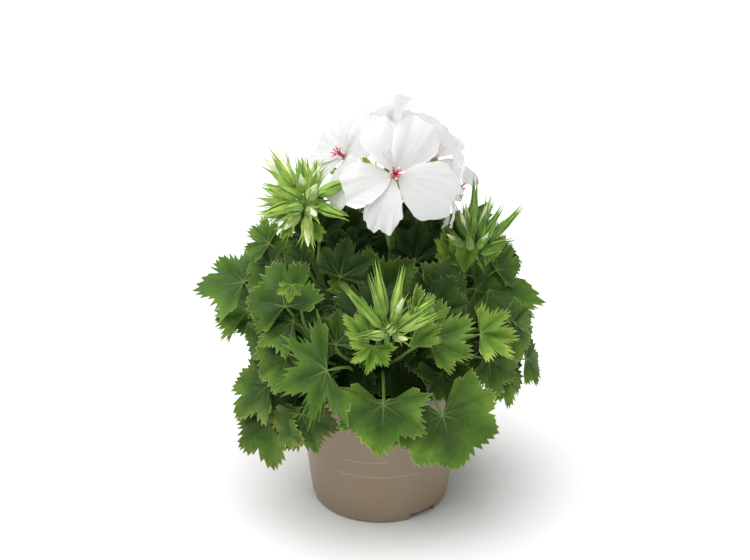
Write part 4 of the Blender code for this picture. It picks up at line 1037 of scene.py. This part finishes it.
def openUmbelStalks(materials):
    bm = bmesh.new()
    tint = bm.verts.layers.float_color.new("budTint")
    hub = Vector(blooms["hub"])
    tinted(sweep(bm, pathFrames(peduncleLine(blooms["stem"], hub, 8), [umbels["peduncle"]] * 9), 10), tint, 0.1, 10)
    bmesh.ops.create_icosphere(bm, subdivisions=2, radius=umbels["knot"] * 0.9, matrix=Matrix.Translation(hub))
    for name in blooms["heads"]:
        turned = bloomFrame(name)
        facing = turned.col[2].to_3d()
        back = turned @ Vector((0, 0, -0.0012 - umbels["gap"]))
        tail = turned @ Vector((0, 0, -0.014))
        span = (back - hub).length
        points = curveThrough(hub, (tail - hub).normalized() * span * 0.3, tail, facing * span * 0.2, 8)
        radii = [umbels["pedicel"]] * 9 + [0.0012, 0.0020]
        tinted(sweep(bm, pathFrames([*points, tail.lerp(back, 0.6), back], radii), 8), tint, 0.2, 8)
        for k in range(umbels["sepals"]):
            around = turned @ Matrix.Rotation(2 * math.pi * (k + 0.5) / 5, 4, "Z")
            base, out = around @ Vector((0, 0, -0.0046)), (around @ Vector((0, 0, 1, 0))).to_3d()
            way = (around @ Vector((0, 0.80, -0.60, 0))).to_3d()
            addSepal(bm, base, way, out, 0.0090, [0.0] * 7, 0.0013, tint, 0.4)
    piece = finishPiece("open_umbel_green_stalks", bm, materials)
    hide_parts("open_umbel_stalks")


def petalMaterial():
    # a fresh white petal: thin satin tissue that glows, a touch greyer in its crumples and at its edge as painted
    # shade, brownish grey deep in the throat that is partly its own colour and partly painted shade, with pink
    # streaks strong on one upper petal and faint on the other
    look, shader = newMaterial("white petal tissue")
    plane = addNode(look, "ShaderNodeUVMap", {"uv_map": "petalPlane"})
    kind = addNode(look, "ShaderNodeAttribute", {"attribute_name": "petalKind"})
    streaked = addNode(look, "ShaderNodeSeparateColor", {}, {"Color": kind.outputs["Color"]}).outputs["Red"]
    uv = addNode(look, "ShaderNodeSeparateXYZ", {}, {"Vector": plane})
    across, outward = uv.outputs["X"], uv.outputs["Y"]
    place = addNode(look, "ShaderNodeTexCoord").outputs["Object"]
    crumple = addNode(look, "ShaderNodeTexNoise", {}, {"Vector": place, "Scale": 160.0, "Detail": 3.0})
    # the ramp's brownish grey at the throat is partly the petal's own colour and partly painted shade; the crumple
    # noise and the last stop grey it a little more as painted shade
    drift = addNode(look, "ShaderNodeMath", {"operation": "MULTIPLY_ADD"}, {0: crumple, 1: 0.10, 2: outward})
    base = addNode(look, "ShaderNodeValToRGB", {}, {"Fac": drift})
    setStops(base, ((0.04, "#93896f"), (0.10, "#bdb3ae"), (0.20, "#e3e0e2"), (0.36, "#efeff1"), (0.90, "#f3f3f4"),
                    (1.08, "#ebebee")))

    # three streaks about 1 mm wide and 12 mm long fan out from the throat
    fan = addNode(look, "ShaderNodeMath", {"operation": "MULTIPLY_ADD"}, {0: crumple, 1: 0.05, 2: across})
    fan = addNode(look, "ShaderNodeMath", {"operation": "MULTIPLY"}, {0: fan, 1: 10.0})
    fan = addNode(look, "ShaderNodeMath", {"operation": "PINGPONG"}, {0: fan, 1: 0.5})
    line = addNode(look, "ShaderNodeMapRange", {}, {"Value": fan, "From Max": 0.21, "To Min": 1.0, "To Max": 0.0})
    middle = addNode(look, "ShaderNodeMath", {"operation": "COMPARE"}, {0: across, 1: 0.46, 2: 0.17})
    near = addNode(look, "ShaderNodeMapRange", {}, {"Value": outward, "From Min": 0.13, "From Max": 0.17})
    far = addNode(look, "ShaderNodeMapRange", {}, {"Value": outward, "From Min": 0.46, "From Max": 0.36})
    mask = addNode(look, "ShaderNodeMath", {"operation": "MULTIPLY"}, {0: line, 1: middle})
    mask = addNode(look, "ShaderNodeMath", {"operation": "MULTIPLY"}, {0: mask, 1: near})
    mask = addNode(look, "ShaderNodeMath", {"operation": "MULTIPLY"}, {0: mask, 1: far})
    mask = addNode(look, "ShaderNodeMath", {"operation": "MULTIPLY"}, {0: mask, 1: streaked})
    colour = addNode(look, "ShaderNodeMix", {"data_type": "RGBA"}, {0: mask, 6: base, 7: linear("#b93c7a")})

    # fine veins that fan out, about 0.8 mm apart, and soft crumples about 6 mm across
    veins = addNode(look, "ShaderNodeMath", {"operation": "MULTIPLY"}, {0: across, 1: 150.0})
    veins = addNode(look, "ShaderNodeMath", {"operation": "SINE"}, {0: veins})
    height = addNode(look, "ShaderNodeMath", {"operation": "MULTIPLY_ADD"}, {0: veins, 1: 0.015, 2: crumple})
    bump = addNode(look, "ShaderNodeBump", {}, {"Strength": 0.35, "Distance": 0.0016, "Height": height})
    feed(look, shader, {"Base Color": colour, "Normal": bump, "Roughness": 0.55, "Sheen Weight": 0.15,
                        "Subsurface Weight": 0.9, "Subsurface Radius": (0.005, 0.005, 0.005),
                        "Subsurface Scale": 1.0})
    return look


def stamenMaterials():
    # wet red filaments, paler where they catch the light, and chalky pale anthers
    filament, shader = newMaterial("red filament")
    place = addNode(filament, "ShaderNodeTexCoord").outputs["Object"]
    grain = addNode(filament, "ShaderNodeTexNoise", {}, {"Vector": place, "Scale": 700.0})
    colour = addNode(filament, "ShaderNodeMix", {"data_type": "RGBA"},
                     {0: grain, 6: linear("#a31431"), 7: linear("#de5374")})
    feed(filament, shader, {"Base Color": colour, "Roughness": 0.35})
    anther, shader = newMaterial("chalky anther")
    place = addNode(anther, "ShaderNodeTexCoord").outputs["Object"]
    grain = addNode(anther, "ShaderNodeTexNoise", {}, {"Vector": place, "Scale": 1800.0})
    colour = addNode(anther, "ShaderNodeMix", {"data_type": "RGBA"},
                     {0: grain, 6: linear("#dba6ac"), 7: linear("#f6ecec")})
    feed(anther, shader, {"Base Color": colour, "Roughness": 0.8})
    return filament, anther


petalWhite = petalMaterial()
filamentRed, antherPale = stamenMaterials()
for name in blooms["heads"]:
    petals(name, [petalWhite])
    stamens(name, [filamentRed, antherPale])
openUmbelStalks([sepalGreen])
print("blooms made")


# Pot

pot = {
    "height": 0.104,
    "footRadius": 0.0485,
    "rimRadius": 0.0615,
    "rimDepth": 0.010,
    "overhang": 0.0030,
    "rimEdge": 0.0008,
    "rimSlope": 0.0010,
    "throatSlope": 0.0020,
    "wall": 0.0015,
    "floor": 0.0030,
    "footRounding": 0.0030,
    "sides": 128,
    "notches": (38.0, 158.0, 278.0),
    "notchWidth": 26.0,
    "notchHeight": 0.0048,
    "notchDepth": 0.0100,
    "roofInset": 0.0006,
    "roofLap": 4.0,
    "drain": 0.0030,
    "drainInset": 0.0060,
    "past": 0.004,
    # height, left and right end of each printed line
    "printedLines": ((0.0520, -0.0260, 0.0050), (0.0400, -0.0300, 0.0260)),
}


def wallRadius(height):
    shoulder = pot["height"] - pot["rimDepth"]
    return pot["footRadius"] + (pot["rimRadius"] - pot["overhang"] - pot["footRadius"]) * height / shoulder


def spun(profile, sides, angle=2 * math.pi, closed=False):
    bm = bmesh.new()
    row = [bm.verts.new((r, 0, z)) for r, z in profile]
    edges = [bm.edges.new(pair) for pair in zip(row, row[1:])]
    if closed:
        edges.append(bm.edges.new((row[-1], row[0])))
    full = angle > 6.28
    bmesh.ops.spin(bm, geom=row + edges, cent=(0, 0, 0), axis=(0, 0, 1), angle=angle, steps=sides, use_merge=full)
    bmesh.ops.remove_doubles(bm, verts=bm.verts, dist=1e-6)
    bmesh.ops.holes_fill(bm, edges=[edge for edge in bm.edges if edge.is_boundary])
    bmesh.ops.recalc_face_normals(bm, faces=bm.faces)
    return bm


def ringBlock(inner, outer, low, high, azimuth, width):
    bm = spun([(inner, low), (outer, low), (outer, high), (inner, high)], 10, math.radians(width), closed=True)
    turn = Matrix.Rotation(math.radians(azimuth - 90 - width / 2), 4, "Z")
    bmesh.ops.transform(bm, matrix=turn, verts=bm.verts)
    return bm


def drainCutter(azimuth):
    bm = bmesh.new()
    centre = heading(azimuth) * (pot["footRadius"] - pot["drainInset"])
    place = Matrix.Translation(centre + Vector((0, 0, 0.006)))
    bmesh.ops.create_cone(bm, cap_ends=True, segments=24, radius1=pot["drain"], radius2=pot["drain"],
                          depth=0.010, matrix=place)
    return bm


def shaped(base, others, operation):
    # one Boolean with all the cutters or additions, applied
    holders = []
    for bm in (base, *others):
        mesh = bpy.data.meshes.new("shaping")
        bm.to_mesh(mesh)
        bm.free()
        holders.append(bpy.data.objects.new("shaping", mesh))
    group = bpy.data.collections.new("shaping")
    bpy.context.scene.collection.children.link(group)
    bpy.context.scene.collection.objects.link(holders[0])
    for each in holders[1:]:
        group.objects.link(each)
    boolean = holders[0].modifiers.new("shaping", "BOOLEAN")
    boolean.operation = operation
    boolean.operand_type = "COLLECTION"
    boolean.collection = group
    boolean.solver = "EXACT"
    graph = bpy.context.evaluated_depsgraph_get()
    result = bmesh.new()
    result.from_mesh(holders[0].evaluated_get(graph).data)
    for each in holders:
        bpy.data.objects.remove(each)
    bpy.data.collections.remove(group)
    return result


def potBody(materials):
    shoulder = pot["height"] - pot["rimDepth"]
    rounding = pot["footRounding"]
    profile = [(0, 0)]
    for degrees in (0, 18, 36, 54, 72, 90):
        t = math.radians(degrees)
        profile.append((pot["footRadius"] - rounding * (1 - math.sin(t)), rounding * (1 - math.cos(t))))
    for share in (0.15, 0.3, 0.45, 0.6, 0.75, 0.9, 1.0):
        z = rounding + (shoulder - rounding) * share
        profile.append((wallRadius(z), z))
    rim, edge = pot["rimRadius"], pot["rimEdge"]
    profile += [
        (rim - edge * 0.4, shoulder + pot["rimSlope"] * 0.7),
        (rim, shoulder + pot["rimSlope"] * 1.4),
        (rim, pot["height"] - edge),
        (rim - edge * 0.3, pot["height"] - edge * 0.3),
        (rim - edge, pot["height"]),
        (rim - pot["overhang"], pot["height"]),
        (wallRadius(shoulder) - pot["wall"], shoulder - pot["throatSlope"]),
        (wallRadius(pot["floor"]) - pot["wall"], pot["floor"]),
        (0, pot["floor"]),
    ]
    body = spun(profile, pot["sides"])
    inner = pot["footRadius"] - pot["notchDepth"]
    roofs, cuts = [], []
    for azimuth in pot["notches"]:
        roofs.append(ringBlock(inner - pot["wall"], pot["footRadius"] - pot["roofInset"], pot["roofInset"],
                               pot["notchHeight"] + pot["wall"], azimuth, pot["notchWidth"] + pot["roofLap"]))
        cuts.append(ringBlock(inner, pot["footRadius"] + pot["past"], -pot["past"], pot["notchHeight"],
                              azimuth, pot["notchWidth"]))
        cuts.append(drainCutter(azimuth))
    bm = shaped(shaped(body, roofs, "UNION"), cuts, "DIFFERENCE")
    piece = finishPiece("pot_shell", bm, materials, 30)
    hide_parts("pot")


def potMaterial():
    # injection-moulded polypropylene: an even taupe with a soft satin reflection, a faint moulded grain and two
    # thin pale lines printed round its front
    look, shader = newMaterial("moulded polypropylene")
    place = addNode(look, "ShaderNodeTexCoord").outputs["Object"]
    grain = addNode(look, "ShaderNodeTexNoise", {}, {"Vector": place, "Scale": 1500.0, "Detail": 2.0})
    cloud = addNode(look, "ShaderNodeTexNoise", {}, {"Vector": place, "Scale": 28.0, "Detail": 4.0})
    plastic = addNode(look, "ShaderNodeMix", {"data_type": "RGBA"},
                      {0: cloud, 6: linear("#87755f"), 7: linear("#96846d")})
    xyz = addNode(look, "ShaderNodeSeparateXYZ", {}, {"Vector": place})
    x, y, z = xyz.outputs["X"], xyz.outputs["Y"], xyz.outputs["Z"]
    front = addNode(look, "ShaderNodeMath", {"operation": "LESS_THAN"}, {0: y, 1: -0.01})
    lines = []
    for height, left, right in pot["printedLines"]:
        band = addNode(look, "ShaderNodeMath", {"operation": "COMPARE"}, {0: z, 1: height, 2: 0.00028})
        wide = addNode(look, "ShaderNodeMath", {"operation": "COMPARE"},
                       {0: x, 1: (left + right) / 2, 2: (right - left) / 2})
        lines.append(addNode(look, "ShaderNodeMath", {"operation": "MULTIPLY"}, {0: band, 1: wide}))
    both = addNode(look, "ShaderNodeMath", {"operation": "ADD"}, {0: lines[0], 1: lines[1]})
    mask = addNode(look, "ShaderNodeMath", {"operation": "MULTIPLY"}, {0: both, 1: front})
    faint = addNode(look, "ShaderNodeMath", {"operation": "MULTIPLY"}, {0: mask, 1: 0.55})
    printed = addNode(look, "ShaderNodeMix", {"data_type": "RGBA"}, {0: faint, 6: plastic, 7: linear("#bcb0a1")})
    bump = addNode(look, "ShaderNodeBump", {}, {"Strength": 0.12, "Distance": 0.0002, "Height": grain})
    feed(look, shader, {"Base Color": printed, "Normal": bump, "Roughness": 0.42, "IOR": 1.49})
    return look


potBody([potMaterial()])
print("pot made")


# Peat

peat = {"rings": 40, "sides": 96, "bumps": 0.0010, "fall": 0.0025, "crumb": 0.0009, "crumbs": 420, "gap": 0.0004}


def peatHeight(x, y):
    wave = math.sin(x * 310 + 1.0) * math.cos(y * 270 + 0.4) + 0.6 * math.sin(x * 620 - y * 540)
    return growth["peatTop"] + peat["bumps"] * wave - peat["fall"] * (x * x + y * y) / pot["footRadius"] ** 2


def peatBody(materials):
    # a plug of peat: a disc in rings, raised and lowered into crumbs, with a skirt down the pot's inside
    bm = bmesh.new()
    radius = wallRadius(growth["peatTop"]) - pot["wall"] - 3 * peat["gap"]
    bmesh.ops.create_circle(bm, cap_ends=True, cap_tris=True, segments=peat["sides"], radius=0.0008)
    rim = [edge for edge in bm.edges if edge.is_boundary]
    for ring in range(1, peat["rings"] + 1):
        grown = bmesh.ops.extrude_edge_only(bm, edges=rim)["geom"]
        verts = [g for g in grown if isinstance(g, bmesh.types.BMVert)]
        rim = [g for g in grown if isinstance(g, bmesh.types.BMEdge)]
        reach = 0.0008 + (radius - 0.0008) * ring / peat["rings"]
        for v in verts:
            v.co.xy = v.co.xy.normalized() * reach
    for v in bm.verts:
        rough = noise.noise(v.co * 420) + 0.5 * noise.noise(v.co * 1100 + Vector((7, 3, 1)))
        v.co.z = peatHeight(v.co.x, v.co.y) + peat["crumb"] * rough
    grown = bmesh.ops.extrude_edge_only(bm, edges=rim)["geom"]
    low = pot["floor"] + peat["gap"]
    for v in [g for g in grown if isinstance(g, bmesh.types.BMVert)]:
        v.co.xy = v.co.xy.normalized() * (wallRadius(low) - pot["wall"] - 2 * peat["gap"])
        v.co.z = low
    bmesh.ops.edgeloop_fill(bm, edges=[g for g in grown if isinstance(g, bmesh.types.BMEdge)])
    draw = random.Random(5)
    for _ in range(peat["crumbs"]):
        away = radius * 0.96 * math.sqrt(draw.random())
        place = heading(draw.uniform(0, 360)) * away
        place.z = peatHeight(place.x, place.y) + 0.0004
        size = [draw.uniform(0.0005, 0.0016) for _ in range(3)]
        tilt = Matrix.Rotation(draw.uniform(0, 3), 4, "X") @ Matrix.Rotation(draw.uniform(0, 3), 4, "Z")
        shape = Matrix.Translation(place) @ tilt @ Matrix.Diagonal((*size, 1))
        bmesh.ops.create_icosphere(bm, subdivisions=1, radius=1.0, matrix=shape)
    bmesh.ops.recalc_face_normals(bm, faces=bm.faces)
    piece = finishPiece("peat_filling", bm, materials, 60)
    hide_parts("peat")


def peatMaterial():
    # damp peat: almost black brown, matt, with lighter fibres about 1 mm wide
    look, shader = newMaterial("damp peat")
    place = addNode(look, "ShaderNodeTexCoord").outputs["Object"]
    fibres = addNode(look, "ShaderNodeTexNoise", {},
                     {"Vector": place, "Scale": 900.0, "Detail": 4.0, "Distortion": 1.5})
    ramp = addNode(look, "ShaderNodeValToRGB", {}, {"Fac": fibres})
    setStops(ramp, ((0.42, "#1f1711"), (0.72, "#4b3828")))
    bump = addNode(look, "ShaderNodeBump", {}, {"Strength": 0.8, "Distance": 0.0006, "Height": fibres})
    feed(look, shader, {"Base Color": ramp, "Normal": bump, "Roughness": 0.95})
    return look


peatBody([peatMaterial()])
print("peat made")


# Floor and light: a pale sweep under an even sky, and one large soft light high in front on the left

studio = {
    "floorSize": 12.0,
    "floorColour": "#ececec",
    "skyColour": "#ffffff",
    "skyStrength": 0.44,
    "keyStrength": 3.7,
    "keyFrom": (-0.20, -0.18, 1.0),
    "keySpread": 70,  # degrees that the light's disc covers
}

bm = bmesh.new()
bmesh.ops.create_grid(bm, x_segments=1, y_segments=1, size=studio["floorSize"] / 2)
floorMesh = bpy.data.meshes.new("floor")
bm.to_mesh(floorMesh)
bm.free()
floorLook, floorShader = newMaterial("white paper sweep")
feed(floorLook, floorShader, {"Base Color": linear(studio["floorColour"]), "Roughness": 0.9})
floorMesh.materials.append(floorLook)
floor = bpy.data.objects.new("floor", floorMesh)
bpy.context.scene.collection.objects.link(floor)

world = bpy.data.worlds.new("studio")
world.use_nodes = True
sky = world.node_tree.nodes["Background"]
sky.inputs["Color"].default_value = linear(studio["skyColour"])
sky.inputs["Strength"].default_value = studio["skyStrength"]
bpy.context.scene.world = world

lamp = bpy.data.lights.new("key", "SUN")
lamp.energy = studio["keyStrength"]
lamp.angle = math.radians(studio["keySpread"])
key = bpy.data.objects.new("key", lamp)
key.location = studio["keyFrom"]
key.rotation_euler = Vector(studio["keyFrom"]).to_track_quat("Z", "Y").to_euler()
bpy.context.scene.collection.objects.link(key)
bpy.context.scene.view_settings.view_transform = "Standard"
print("studio made")
